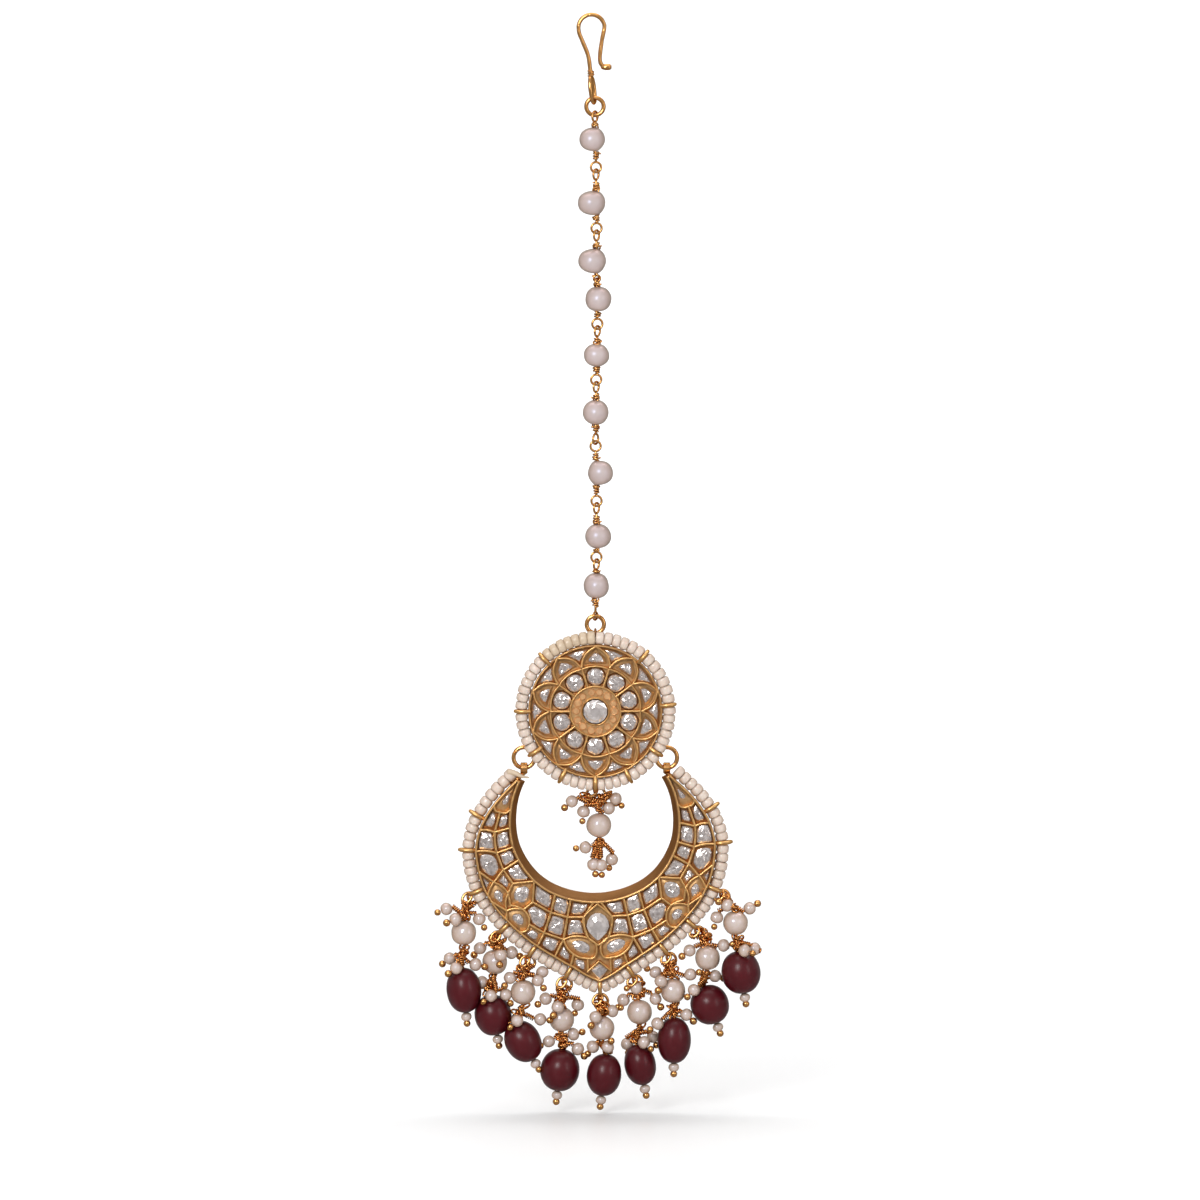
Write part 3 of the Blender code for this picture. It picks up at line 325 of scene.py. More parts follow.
class Shape:
    """Points and faces that grow piece by piece, to become one mesh."""

    def __init__(self):
        self.points = []
        self.faces = []

    def add(self, points, faces):
        start = len(self.points)
        self.points += [tuple(point) for point in points]
        self.faces += [[start + corner for corner in face] for face in faces]
        return self

    def skin(self, rings, closed=False, caps=True):
        """A skin over rings of equal length."""
        sides = len(rings[0])
        count = len(rings)
        faces = []
        for row in range(count if closed else count - 1):
            low = row * sides
            high = (row + 1) % count * sides
            faces += [(low + side, low + (side + 1) % sides, high + (side + 1) % sides, high + side)
                      for side in range(sides)]
        if caps and not closed:
            faces.append(tuple(reversed(range(sides))))
            faces.append(tuple(range((count - 1) * sides, count * sides)))
        return self.add([point for ring in rings for point in ring], faces)


def make(name, shape, finish, body, replaced=(), smooth=SMOOTH):
    """One visible piece that rides a body of the frame, in the material of its finish."""
    material, slot = finish
    mesh = bpy.data.meshes.new(name)
    mesh.from_pydata([Vector(point) * MM for point in shape.points], [], shape.faces)
    mesh.validate()
    mesh.materials.append(material)
    if smooth:
        mesh.shade_smooth()
        mesh.set_sharp_from_angle(angle=math.radians(smooth))
    obj = bpy.data.objects.new(name, mesh)
    bpy.context.scene.collection.objects.link(obj)
    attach(obj, body)
    if replaced:
        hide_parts(*replaced)


def frames_along(path, closed):
    count = len(path)
    tangents = []
    for number in range(count):
        before = path[number - 1] if closed or number else path[0]
        after = path[(number + 1) % count] if closed or number < count - 1 else path[-1]
        tangents.append((after - before).normalized())
    across = AWAY if abs(tangents[0].y) < 0.9 else RIGHT
    frames = []
    for tangent in tangents:
        across = (across - tangent * across.dot(tangent)).normalized()
        frames.append((across, tangent.cross(across)))
    return frames


def tube(shape, path, radii, sides=WIRE_SIDES, closed=False, flat=1.0, ends=True):
    """A wire along the path. Flat squeezes it across the path, and rounded ends close it."""
    path = [Vector(point) for point in path]
    radii = list(radii) if isinstance(radii, (list, tuple)) else [radii] * len(path)
    if ends and not closed:
        first = (path[0] - path[1]).normalized() * radii[0] * 0.55
        last = (path[-1] - path[-2]).normalized() * radii[-1] * 0.55
        path = [path[0] + first] + path + [path[-1] + last]
        radii = [radii[0] * 0.45] + radii + [radii[-1] * 0.45]
    rings = [[point + radius * around(turn, across, up * flat) for turn in turns(sides)]
             for point, radius, (across, up) in zip(path, radii, frames_along(path, closed))]
    return shape.skin(rings, closed)


def smooth_path(points, steps=5):
    """A curve through the points."""
    points = [Vector(point) for point in points]
    last = len(points) - 1
    found = []
    for number in range(last):
        a, b, c, d = [points[min(max(number + step, 0), last)] for step in (-1, 0, 1, 2)]
        for step in range(steps):
            t = step / steps
            found.append(0.5 * (2 * b + (c - a) * t + (2 * a - 5 * b + 4 * c - d) * t * t
                                + (3 * b - a - 3 * c + d) * t ** 3))
    return found + [points[-1]]


def ring_path(centre, radius, first, second, segments, squash=1.0):
    return [centre + radius * (math.cos(turn) * first + math.sin(turn) * squash * second)
            for turn in turns(segments)]


def coil(shape, start, end, radius, count, wire, phase=0.0, swell=0.0):
    """Turns of wire wound round the line from start to end."""
    across, up = frame_of((end - start).normalized())
    steps = max(6, round(count * 12))
    path = []
    for step in range(steps + 1):
        share = step / steps
        reach = radius * (1 + swell * math.sin(math.pi * share))
        path.append(start.lerp(end, share) + reach * around(phase + math.tau * count * share, across, up))
    return tube(shape, path, wire, 6)


def turned(shape, profile, centre, axis, sides, closed=False):
    """A turned solid from (radius, height) rows."""
    axis = axis.normalized()
    across, up = frame_of(axis)
    return shape.skin([[centre + axis * height + radius * around(turn, across, up) for turn in turns(sides)]
                       for radius, height in profile], closed)


def ball(shape, centre, radius, axis, sides, bands):
    tilts = [math.pi * (band + 0.25) / (bands + 0.5) for band in range(bands + 1)]
    profile = [(radius * math.sin(tilt), -radius * math.cos(tilt)) for tilt in tilts]
    return turned(shape, profile, centre, axis, sides)


def pearl(shape, centre, width, height, axis, seed, shift=Vector(), hole=0.26, sides=28, bands=18,
          rough=0.018):
    """A grown pearl: a little uneven, with a dimple at each end of its hole."""
    axis = axis.normalized()
    across, up = frame_of(axis)
    lean = math.asin(min(0.9, hole / (width / 2)))
    place = Vector((seed * 3.7, seed * 1.3, seed * 2.1))

    def dimple(side):
        middle = centre + axis * height * 0.40 * side
        return [middle + hole * 0.8 * around(turn, across, up) for turn in turns(sides)]

    rings = [dimple(-1)]
    for band in range(bands + 1):
        tilt = lean + (math.pi - 2 * lean) * band / bands
        along = -math.cos(tilt) * axis
        aside = shift * (1 - (1 - math.sin(tilt)) ** 2)
        ring = []
        for turn in turns(sides):
            out = math.sin(tilt) * around(turn, across, up)
            swell = 1 + rough * noise.noise((out + along) * 1.3 + place) * 2
            flatter = math.sin(tilt) ** -0.12
            ring.append(centre + aside + (out * flatter * width / 2 + along * height / 2) * swell)
        rings.append(ring)
    return shape.skin(rings + [dimple(1)])


def seed_bead(shape, centre, along, width, length, seed):
    """A short round bead with soft edges and a hole along the string."""
    half = length / 2
    soft = min(0.32, half * 0.50)
    outer = width / 2
    rows = [(SEED_HOLE / 2, half * 0.86), (outer * 0.70, half), (outer - soft * 0.60, half - soft * 0.14),
            (outer - soft * 0.12, half - soft * 0.62), (outer, half - soft * 1.3)]
    profile = [(radius, -height) for radius, height in rows] + rows[::-1]
    chance = random.Random(seed)
    tilt = Vector([chance.uniform(-0.05, 0.05) for _ in range(3)])
    return turned(shape, profile, centre, along + tilt, 16, closed=True)


# Materials


def add_node(tree, kind, links=(), settings=(), **values):
    """A node with its values set and its inputs linked from (input, output) pairs."""
    node = tree.nodes.new("ShaderNode" + kind)
    for key, value in values.items():
        setattr(node, key, value)
    for socket, value in settings:
        node.inputs[socket].default_value = value
    for socket, source in links:
        tree.links.new(source, node.inputs[socket])
    return node


def effect(name, inputs, output, kind):
    """An empty node group with its input and output sockets, and the noise that drives it."""
    group = bpy.data.node_groups.new(name, "ShaderNodeTree")
    for socket, socket_kind, value in inputs:
        group.interface.new_socket(socket, in_out="INPUT", socket_type=socket_kind).default_value = value
    group.interface.new_socket(output, in_out="OUTPUT", socket_type=kind)
    return group, group.nodes.new("NodeGroupInput").outputs, group.nodes.new("NodeGroupOutput").inputs[output]


def noise_fac(group, scale, detail, rough, distortion=0.0):
    coordinates = add_node(group, "TexCoord")
    texture = add_node(group, "TexNoise", [("Vector", coordinates.outputs["Object"]), ("Scale", scale)],
                       [("Detail", detail), ("Roughness", rough), ("Distortion", distortion)])
    return texture.outputs["Fac"]


def mottle_group():
    """A colour that drifts between a light and a dark one."""
    group, given, made = effect(
        "mottle", [("Scale", "NodeSocketFloat", 900.0), ("Light", "NodeSocketColor", (1, 1, 1, 1)),
                   ("Dark", "NodeSocketColor", (0, 0, 0, 1)), ("Sharpness", "NodeSocketFloat", 0.25)],
        "Colour", "NodeSocketColor")
    sharp = given["Sharpness"]
    low, high = [add_node(group, "Math", [(1, sharp)], [(0, 0.5)], operation=operation).outputs[0]
                 for operation in ("SUBTRACT", "ADD")]
    spread = add_node(group, "MapRange", [("Value", noise_fac(group, given["Scale"], 5.0, 0.55)),
                                          ("From Min", low), ("From Max", high)])
    mix = add_node(group, "Mix", data_type="RGBA")
    for socket, source in ((0, spread.outputs[0]), (6, given["Dark"]), (7, given["Light"])):
        group.links.new(source, mix.inputs[socket])
    group.links.new(mix.outputs[2], made)
    return group


def wear_group():
    """A roughness between two values, in small patches."""
    group, given, made = effect(
        "wear", [("Scale", "NodeSocketFloat", 1500.0), ("Smooth", "NodeSocketFloat", 0.2),
                 ("Rough", "NodeSocketFloat", 0.4)], "Roughness", "NodeSocketFloat")
    spread = add_node(group, "MapRange", [("Value", noise_fac(group, given["Scale"], 4.0, 0.6)),
                                          ("To Min", given["Smooth"]), ("To Max", given["Rough"])],
                      [("From Min", 0.35), ("From Max", 0.65)])
    group.links.new(spread.outputs["Result"], made)
    return group


def relief_group():
    """Fine unevenness of a surface, as a normal."""
    group, given, made = effect(
        "relief", [("Scale", "NodeSocketFloat", 3000.0), ("Strength", "NodeSocketFloat", 0.2),
                   ("Height", "NodeSocketFloat", 0.00005)], "Normal", "NodeSocketVector")
    bump = add_node(group, "Bump", [("Height", noise_fac(group, given["Scale"], 3.0, 0.5, 0.3)),
                                    ("Strength", given["Strength"]), ("Distance", given["Height"])])
    group.links.new(bump.outputs["Normal"], made)
    return group


GROUPS = mottle_group(), wear_group(), relief_group()


def material(name, light, dark, colour_scale, rough, relief, edge=None, **shader):
    """A finish of drifting colour, patches of roughness and fine relief, with the shader's own values.

    Rough is the least and the greatest roughness, relief its scale and strength. Edge is painted rim shade: a
    darker colour, and the blend by which the colour turns to it where the surface turns away from the eye.
    """
    made = bpy.data.materials.new(name)
    made.use_nodes = True
    tree = made.node_tree
    principled = tree.nodes["Principled BSDF"]
    values = ((("Light", (*light, 1)), ("Dark", (*dark, 1)), ("Scale", colour_scale)),
              (("Smooth", rough[0]), ("Rough", rough[1])), (("Scale", relief[0]), ("Strength", relief[1])))
    colour, roughness, normal = [add_node(tree, "Group", node_tree=group) for group in GROUPS]
    for node, settings in zip((colour, roughness, normal), values):
        for socket, value in settings:
            node.inputs[socket].default_value = value
    source = colour.outputs[0]
    # Painted rim shade: the colour darkens towards the edge colour where the surface turns away from the eye
    if edge:
        away = add_node(tree, "LayerWeight", (), [("Blend", edge[3])])
        mix = add_node(tree, "Mix", data_type="RGBA")
        mix.inputs[7].default_value = (*edge[:3], 1)
        tree.links.new(away.outputs["Facing"], mix.inputs[0])
        tree.links.new(source, mix.inputs[6])
        source = mix.outputs[2]
    for socket, output in (("Base Color", source), ("Roughness", roughness.outputs[0]),
                           ("Normal", normal.outputs[0])):
        tree.links.new(output, principled.inputs[socket])
    for socket, value in shader.items():
        principled.inputs[socket.replace("_", " ")].default_value = value
    made.diffuse_color = (*light, 1)
    return made


def metal(name, light, dark, colour_scale, rough, relief, tint, edge=None, metallic=1.0, slot="gold"):
    """A metal and the slot that it goes by, as the other finishes give them too."""
    return material(name, light, dark, colour_scale, rough, relief, edge, Metallic=metallic,
                    Specular_Tint=(*tint, 1)), slot


def pearly(name, light, dark, colour_scale, rough, relief, edge, coat, index):
    return material(name, light, dark, colour_scale, rough, (relief, 0.03), edge, Coat_Weight=coat[0],
                    Coat_Roughness=coat[1], Coat_IOR=index, Specular_IOR_Level=0.6, Thin_Film_Thickness=330.0,
                    Thin_Film_IOR=1.35), "pearl"


def stone(name, light, dark, colour_scale, rough, relief, metallic, coat):
    return material(name, light, dark, colour_scale, rough, relief, Metallic=metallic, Coat_Weight=coat[0],
                    Coat_Roughness=coat[1]), "clear_stone"


WARM_TINT, DULL_TINT = (0.80, 0.50, 0.22), (0.6, 0.4, 0.2)
# The last tuple of bright_gold is painted rim shade: a dark brown, and its blend, that the gold turns to
# where it faces away from the eye
BRIGHT_GOLD = metal("bright_gold", (0.82, 0.44, 0.16), (0.70, 0.34, 0.115), 500, (0.15, 0.24), (1500, 0.06),
                    WARM_TINT, (0.30, 0.12, 0.03, 0.34))
FRAME_GOLD = metal("frame_gold", (0.84, 0.50, 0.20), (0.68, 0.39, 0.15), 900, (0.32, 0.44), (5000, 0.25),
                   WARM_TINT)
SIDE_GOLD = metal("side_gold", (0.45, 0.24, 0.11), (0.37, 0.19, 0.085), 700, (0.46, 0.56), (5200, 0.30),
                  (0.40, 0.22, 0.10))
TAN_GOLD = metal("tan_gold", (0.62, 0.40, 0.20), (0.42, 0.24, 0.10), 1500, (0.36, 0.54), (2600, 0.30),
                 DULL_TINT, metallic=0.7)
# A darker copy of tan gold: painted recess shade on the beds of the round wells and of the crescent's cells
# outside TAN_CELLS
SHADED_BED_GOLD = metal("shaded_bed_gold", (0.42, 0.22, 0.09), (0.25, 0.12, 0.045), 1500, (0.34, 0.54), (2600, 0.30),
                 DULL_TINT, metallic=0.7)
# The tuple before the slot of copper_wire is painted rim shade: a dark brown, and its blend, that the wire
# turns to where it faces away from the eye
COPPER = metal("copper_wire", (0.84, 0.39, 0.125), (0.56, 0.22, 0.06), 1600, (0.17, 0.28), (3000, 0.12),
               (0.8, 0.4, 0.15), (0.20, 0.06, 0.012, 0.36), slot="copper_wire")
# The four values after the relief scale of pearl and drop_pearl are painted rim shade: a warm brown, and its
# blend, towards the pearls' edges
PEARL = pearly("pearl", (0.54, 0.45, 0.415), (0.48, 0.395, 0.36), 320, (0.34, 0.40), 900,
               (0.17, 0.105, 0.08, 0.46), (0.85, 0.28), 1.6)
DROP_PEARL = pearly("drop_pearl", (0.60, 0.50, 0.44), (0.50, 0.40, 0.32), 420, (0.24, 0.32), 1100,
                    (0.25, 0.125, 0.06, 0.46), (1.0, 0.16), 1.75)
# The four values after the relief of seed_bead, cream_seed and maroon_bead are painted rim shade: a darker
# colour, and its blend, towards the beads' edges
SEED = material("seed_bead", (0.68, 0.58, 0.51), (0.60, 0.49, 0.41), 500, (0.24, 0.36), (1500, 0.05),
                (0.36, 0.23, 0.14, 0.42), Coat_Weight=0.50, Coat_Roughness=0.14, Subsurface_Weight=0.25,
                Subsurface_Radius=(1.0, 0.6, 0.4), Subsurface_Scale=0.0006), "seed_bead"
CREAM_SEED = material("cream_seed", (0.60, 0.48, 0.35), (0.50, 0.38, 0.26), 500, (0.34, 0.50), (1500, 0.15),
                      (0.38, 0.26, 0.16, 0.36), Coat_Weight=0.20), "seed_bead"
MAROON = material("maroon_bead", (0.082, 0.005, 0.009), (0.062, 0.003, 0.006), 260, (0.30, 0.30), (500, 0.0),
                  (0.030, 0.0015, 0.003, 0.30), Specular_IOR_Level=0.28), "maroon_bead"
# The fine light and dark mottle of clear_stone and large_stone is painted sparkle: grey and white speckle
# standing in for reflections off the facets
CLEAR_STONE = stone("clear_stone", (0.86, 0.79, 0.77), (0.36, 0.30, 0.275), 2300, (0.06, 0.20), (2200, 0.45),
                    0.70, (0.8, 0.03))
GEM = stone("large_stone", (0.90, 0.83, 0.81), (0.62, 0.55, 0.52), 1300, (0.04, 0.12), (1500, 0.16), 0.70,
            (0.8, 0.03))
PEACH = stone("peach_stone", (0.82, 0.47, 0.22), (0.50, 0.26, 0.11), 1500, (0.10, 0.22), (2200, 0.20), 0.35,
              (0.6, 0.05))
THREAD = (material("thread", (0.62, 0.52, 0.40), (0.46, 0.36, 0.26), 2500, (0.6, 0.8), (6000, 0.5)),
          "seed_bead")


# Hook, jump rings and the chain of pearls


def hair_hook():
    """One wire: the balled tip, the bend over the hair, the long leg and the narrow eye wound shut."""
    middle = Vector((0, 0, HOOK_WIRE - HOOK_BEND))
    bend = [middle + HOOK_BEND * facing(math.pi * step / 8) for step in range(9)]
    front_leg, back_leg = [[Vector((x, 0, z)) for x, z in leg] for leg in (HOOK_FRONT_LEG, HOOK_BACK_LEG)]
    path = smooth_path(front_leg + bend + back_leg)
    chance = random.Random(4)
    shape = tube(Shape(), path, [HOOK_DRAWN * chance.uniform(0.95, 1.03) for _ in path], 12)
    stub = path[0] + Vector((0.05, 0, 0.05))
    tube(shape, smooth_path([stub - RIGHT * 0.75, stub - RIGHT * 0.2, stub + RIGHT * 0.52], 3), HOOK_TIP, 14)
    top = path[-1]
    loop = []
    for turn in turns(40, math.pi / 2):
        share = 0.5 - 0.5 * math.sin(turn)
        width = HOOK_EYE_HALF * math.cos(turn) * (1 - 0.12 * share)
        loop.append(top.lerp(HOOK_EYE_FOOT, share) + Vector((0.34, 0.94, 0)) * width)
    tube(shape, loop, HOOK_DRAWN * 0.97, 12, closed=True)
    coil(shape, top + Vector((-0.04, 0, 1.0)), top + Vector((0.02, 0, 0.15)), HOOK_WIRE * 1.5, 2.2,
         HOOK_WIRE * 0.55)
    make("hair_hook_wire", shape, BRIGHT_GOLD, "chain", ["hair_hook"])


def jump_ring(node, body, radius, seam):
    """A round wire ring with its ends butted at the seam."""
    low, high = [Vector(corner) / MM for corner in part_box(node)]
    flat = RIGHT if high.x - low.x > high.y - low.y else AWAY
    path = [(low + high) / 2 + radius * around(seam + 0.03 + (math.tau - 0.06) * step / 40, flat, UP)
            for step in range(41)]
    make(node + "_wire", tube(Shape(), path, RING_WIRE * 1.12, 12), BRIGHT_GOLD, body, [node])


def link_joints():
    """Where two links' loops meet: x, z, their radius, and how far apart their middles lie."""
    joints = []
    for x, (_, z, _, height), (_, z_next, _, height_next) in zip(LINK_X, CHAIN_PEARLS, CHAIN_PEARLS[1:]):
        over, under = z - height / 2, z_next + height_next / 2
        loop = min(LINK_LOOP, (over - under + GAP - 2 * LEAST_WRAP) / 4)
        joints.append((x, (over + under) / 2, loop, 2 * loop - 2 * LINK_WIRE - GAP))
    return joints


def wound_end(shape, middle, loop, flat, foot, chance):
    """A loop with its wire wound back along the stem to the pearl, and the cut tail of the wire."""
    along = (foot - middle).normalized()
    start = middle + along * loop
    bends = [-math.pi / 2 + 0.10 + (math.tau - 0.10) * step / 28 for step in range(29)]
    tube(shape, [middle + loop * around(turn, flat, -along) for turn in bends], LINK_WIRE)
    tube(shape, [start - along * 0.05, foot + along * 0.4], LINK_WIRE)
    wound = min((foot - start).length * 0.75, 1.25)
    sway = flat * chance.uniform(-0.10, 0.10)
    coil(shape, foot - along * wound, foot - along * 0.10 + sway, LINK_WRAP * chance.uniform(0.90, 1.05),
         max(1.1, wound / 0.42), LINK_WIRE * 0.80, chance.uniform(0, math.tau), chance.uniform(0.0, 0.12))
    loose = foot - along * 0.24
    coil(shape, loose - sway * 2, loose + along * 0.16 + sway * 2, LINK_WRAP * chance.uniform(1.15, 1.45),
         1.15, LINK_WIRE * 0.80, chance.uniform(0, math.tau), 0.10)
    out = around(chance.uniform(0, math.tau), RIGHT, AWAY * 0.6)
    tail = foot - along * 0.25 + out * LINK_WRAP * 0.8
    tube(shape, [tail, tail + out * 0.30 - along * 0.04, tail + out * 0.42 - along * 0.14],
         LINK_WIRE * 0.8, 6)


def chain():
    """Nine wires, each through a pearl and looped into the next."""
    joints = link_joints()
    ring_foot = HOOK_EYE_FOOT.z + HOOK_WIRE + 2 * GAP + RING_WIRE - 2 * HOOK_RING
    tops = [(Vector((0.54, 0, ring_foot + RING_WIRE + GAP + LINK_WIRE - LINK_LOOP)), LINK_LOOP)]
    tops += [(Vector((x, 0, z - apart / 2)), loop) for x, z, loop, apart in joints]
    bottoms = [(Vector((x, 0, z + apart / 2)), loop) for x, z, loop, apart in joints]
    bottoms.append((LOWEST_LINK, LINK_END_LOOP))
    for number, (x, z, width, height) in enumerate(CHAIN_PEARLS, 1):
        (top, top_loop), (bottom, bottom_loop) = tops[number - 1], bottoms[number - 1]
        top_flat = NEARLY_FACING if number == TURNED_LINK + 1 else TURNED
        bottom_flat = TURNED if number in (TURNED_LINK, len(CHAIN_PEARLS)) else NEARLY_FACING
        down = (bottom - top).normalized()
        centre = top + down * (Vector((x, 0, z)) - top).dot(down)
        chance = random.Random(number)
        shape = Shape()
        wound_end(shape, top, top_loop, top_flat, centre - down * (height / 2 + GAP / 2), chance)
        wound_end(shape, bottom, bottom_loop, bottom_flat, centre + down * (height / 2 + GAP / 2), chance)
        tube(shape, [centre - down * height / 2, centre + down * height / 2], LINK_WIRE * 0.9, 6)
        make(f"link_wire_{number}_wound", shape, BRIGHT_GOLD, "chain", [f"link_wire_{number}"], ROUND_WIRE)
        bead = pearl(Shape(), centre, width, height, down, number * 1.7, Vector((x - centre.x, 0, 0)))
        make(f"chain_pearl_{number}_grown", bead, PEARL, "chain", [f"chain_pearl_{number}"], ROUND_PEARL)


# Settings: walls, beds and stones, drawn flat in X and Z and given depths in Y


def wall(shape, path, width, front, foot, chance=None, closed=False):
    """A rounded wall along the path, its crest at the front and its foot on the floor."""
    section = [(-0.50, foot), (-0.50, front + 0.16), (-0.34, front + 0.05), (0.0, front),
               (0.34, front + 0.05), (0.50, front + 0.16), (0.50, foot)]
    count = len(path)
    rings = []
    for number, point in enumerate(path):
        before = path[number - 1] if closed or number else point
        after = path[(number + 1) % count] if closed or number < count - 1 else point
        along = (after - before).normalized()
        side = Vector((-along.z, 0, along.x))
        wide = width * (chance.uniform(0.86, 1.10) if chance else 1)
        high = chance.uniform(-0.03, 0.03) if chance else 0
        rings.append([point + side * across * wide + AWAY * (depth + (high if depth < foot else 0))
                      for across, depth in section])
    shape.skin(rings, closed)


def bowed(start, end, bow, steps=8):
    """Points from start to end that bow to the left by a share of the distance."""
    line = end - start
    left = Vector((-line.z, 0, line.x))
    return [start + line * (step / steps) + left * bow * math.sin(math.pi * step / steps)
            for step in range(steps + 1)]


def round_outline(spot, radius, count, start=0.0):
    return [spot + radius * facing(turn) for turn in turns(count, start)]


def flat_middle(outline):
    return sum(outline, Vector()) / len(outline)


def spaced(outline, count):
    """The closed outline again, with evenly spaced points."""
    total = sum((outline[number - 1] - point).length for number, point in enumerate(outline))
    found = []
    gone, need = 0.0, 0.0
    for start, end in zip(outline, outline[1:] + outline[:1]):
        length = (end - start).length
        while need <= gone + length - 1e-9 and len(found) < count:
            found.append(start.lerp(end, (need - gone) / length))
            need += total / count
        gone += length
    return found


def rounded(outline, amount, passes):
    for _ in range(passes):
        outline = [point.lerp((outline[number - 1] + outline[(number + 1) % len(outline)]) / 2, amount)
                   for number, point in enumerate(outline)]
    return outline


def drawn_in(outline, amount):
    """The closed outline with each point moved in by an amount of millimetres."""
    middle = flat_middle(outline)
    found = []
    for number, point in enumerate(outline):
        along = (outline[(number + 1) % len(outline)] - outline[number - 1]).normalized()
        out = Vector((along.z, 0, -along.x))
        found.append(point - out * math.copysign(amount, out.dot(point - middle)))
    return found


def set_stone(stones, beds, outline, size, roundness, front, chance, domed=1.0, sides=14, deep=BED_EDGE):
    """A rough-cut stone in its cell, on a foiled bed that rises from the walls to the stone's edge."""
    cell = spaced(outline, 24)
    middle = flat_middle(cell)
    edge = rounded(cell, 0.28 + 0.5 * roundness, 1 + round(4 * roundness))
    edge = [middle + (point - middle) * size * (1 + chance.uniform(-0.025, 0.025)) for point in edge]
    beds.skin([moved(cell, front + deep + 0.10),
               moved([point.lerp(rim, 0.35) for point, rim in zip(cell, edge)], front + deep),
               moved([point + (point - middle) * 0.04 for point in edge], front + GIRDLE + 0.16),
               moved([point - (point - middle) * 0.03 for point in edge], front + GIRDLE + 0.06)], caps=False)
    lift = CROWN * domed
    corners = spaced(edge, sides)
    levels = []
    for row, (share, depth) in enumerate(((1.0, GIRDLE + 0.30), (1.0, GIRDLE), (0.80, GIRDLE - lift * 0.55),
                                          (0.56, GIRDLE - lift * 0.85), (0.26, GIRDLE - lift))):
        rough = 0.0 if row < 2 else 0.045
        level = []
        for number, corner in enumerate(corners):
            corner = corner.lerp(corners[(number + 1) % sides], 0.5 * (row % 2)) if row > 1 else corner
            level.append(middle + (corner - middle) * share * (1 + chance.uniform(-rough, rough) * 1.5)
                         + AWAY * (front + depth + chance.uniform(-rough, rough)))
        levels.append(level)
    stones.skin(levels)


def staple_rod(shape, foot, outward, reach):
    """A bent rod from the setting's wall over the string of beads, tapering to its outer end."""
    knots = [(-0.30, -STAPLE_HALF), (reach * 0.30, -STAPLE_HALF * 1.75), (reach * 0.75, -STAPLE_HALF * 1.5),
             (reach - 0.05, -0.25), (reach - 0.05, 0.25), (reach * 0.6, STAPLE_HALF), (-0.30, STAPLE_HALF)]
    path = smooth_path([foot + outward * away + AWAY * deep for away, deep in knots], 4)
    tube(shape, path, [STAPLE_WIRE * (1 - 0.34 * number / (len(path) - 1)) for number in range(len(path))])


# Strings of seed beads


def walked(path, distance):
    """The point at a distance along the path, and the direction there."""
    for one, other in zip(path, path[1:]):
        step = (other - one).length
        if distance <= step:
            break
        distance -= step
    along = (other - one).normalized()
    return one + along * distance, along


def string_of_beads(place, stops, seed, tight=()):
    """Beads between the staples: their places, directions, widths and lengths."""
    chance = random.Random(seed)
    beads = []
    for low, high in zip(stops, stops[1:]):
        path = [place(low + (high - low) * step / 40) for step in range(41)]
        span = sum((other - one).length for one, other in zip(path, path[1:]))
        start, end = [0.04 if stop in tight else 0.30 for stop in (low, high)]
        room = span - start - end
        count = max(1, round(room / (SEED_LENGTH + 0.02)))
        step = room / count
        for number in range(count):
            point, along = walked(path, start + step * (number + 0.5))
            width = SEED_WIDTH * chance.uniform(0.93, 1.0)
            beads.append((point, along, width, step * chance.uniform(0.97, 1.01)))
    return beads


def strung(beads, wider=1.0, longer=1.0):
    shape = Shape()
    for number, (place, along, width, length) in enumerate(beads):
        seed_bead(shape, place, along, width * wider, length * longer, number)
    return shape


def seed_string(name, beads, body, node, thread):
    make(name, strung(beads), SEED, body, [node], ROUND_SEED)
    make(name + "_thread", tube(Shape(), thread, SEED_HOLE * 0.36, 6, ends=False), THREAD, body)


# The disc


def disc_point(degrees, radius, depth=0.0):
    turn = math.radians(degrees)
    return Vector((DISC_X + radius * math.cos(turn), depth, DISC_Z + radius * math.sin(turn)))


def circle(radius, steps, depth=0.0):
    return [disc_point(360 * step / steps, radius, depth) for step in range(steps)]


def eye(shape, degrees, reach):
    """A soldered eye round a jump ring, on a short stem from the disc's side."""
    outward = facing(math.radians(degrees))
    middle = disc_point(degrees, reach)
    size = RING_WIRE + GAP + EYE_WIRE
    tube(shape, ring_path(middle, size, outward, AWAY, 24), EYE_WIRE, closed=True)
    tube(shape, [middle - outward * size, disc_point(degrees, DISC_RADIUS - 0.15)], [EYE_WIRE, 0.24])


def disc_side():
    front, rim = DISC_FRONT, DISC_RIM_WALL
    side = Shape()
    levels = [(rim, front + WALL_FOOT), (rim, front + 0.12), (rim - 0.05, front + 0.04), (rim / 2, front),
              (0.05, front + 0.03), (0.0, front + 0.10)]
    levels += [(RIM_FLARE * min(share, 0.94) + rounding, front + (DISC_BACK - front) * share)
               for share, rounding in ((0.33, 0), (0.66, 0), (0.94, 0), (1, 0.10))]
    side.skin([circle(DISC_RADIUS - lean, 96, depth) for lean, depth in levels], caps=False)
    side.add(circle(DISC_RADIUS - RIM_FLARE - 0.07, 96, DISC_BACK - 0.01), [range(96)])
    for degrees, reach in ((DISC_SEAM, RING_REACH - DISC_RING), (SIDE_LUGS[0], SIDE_RING_REACH),
                           (SIDE_LUGS[1], SIDE_RING_REACH), (-90, -CENTRE_DROP_TOP)):
        eye(side, degrees, reach)
    make("disc_side", side, SIDE_GOLD, "disc", ["disc_frame"])


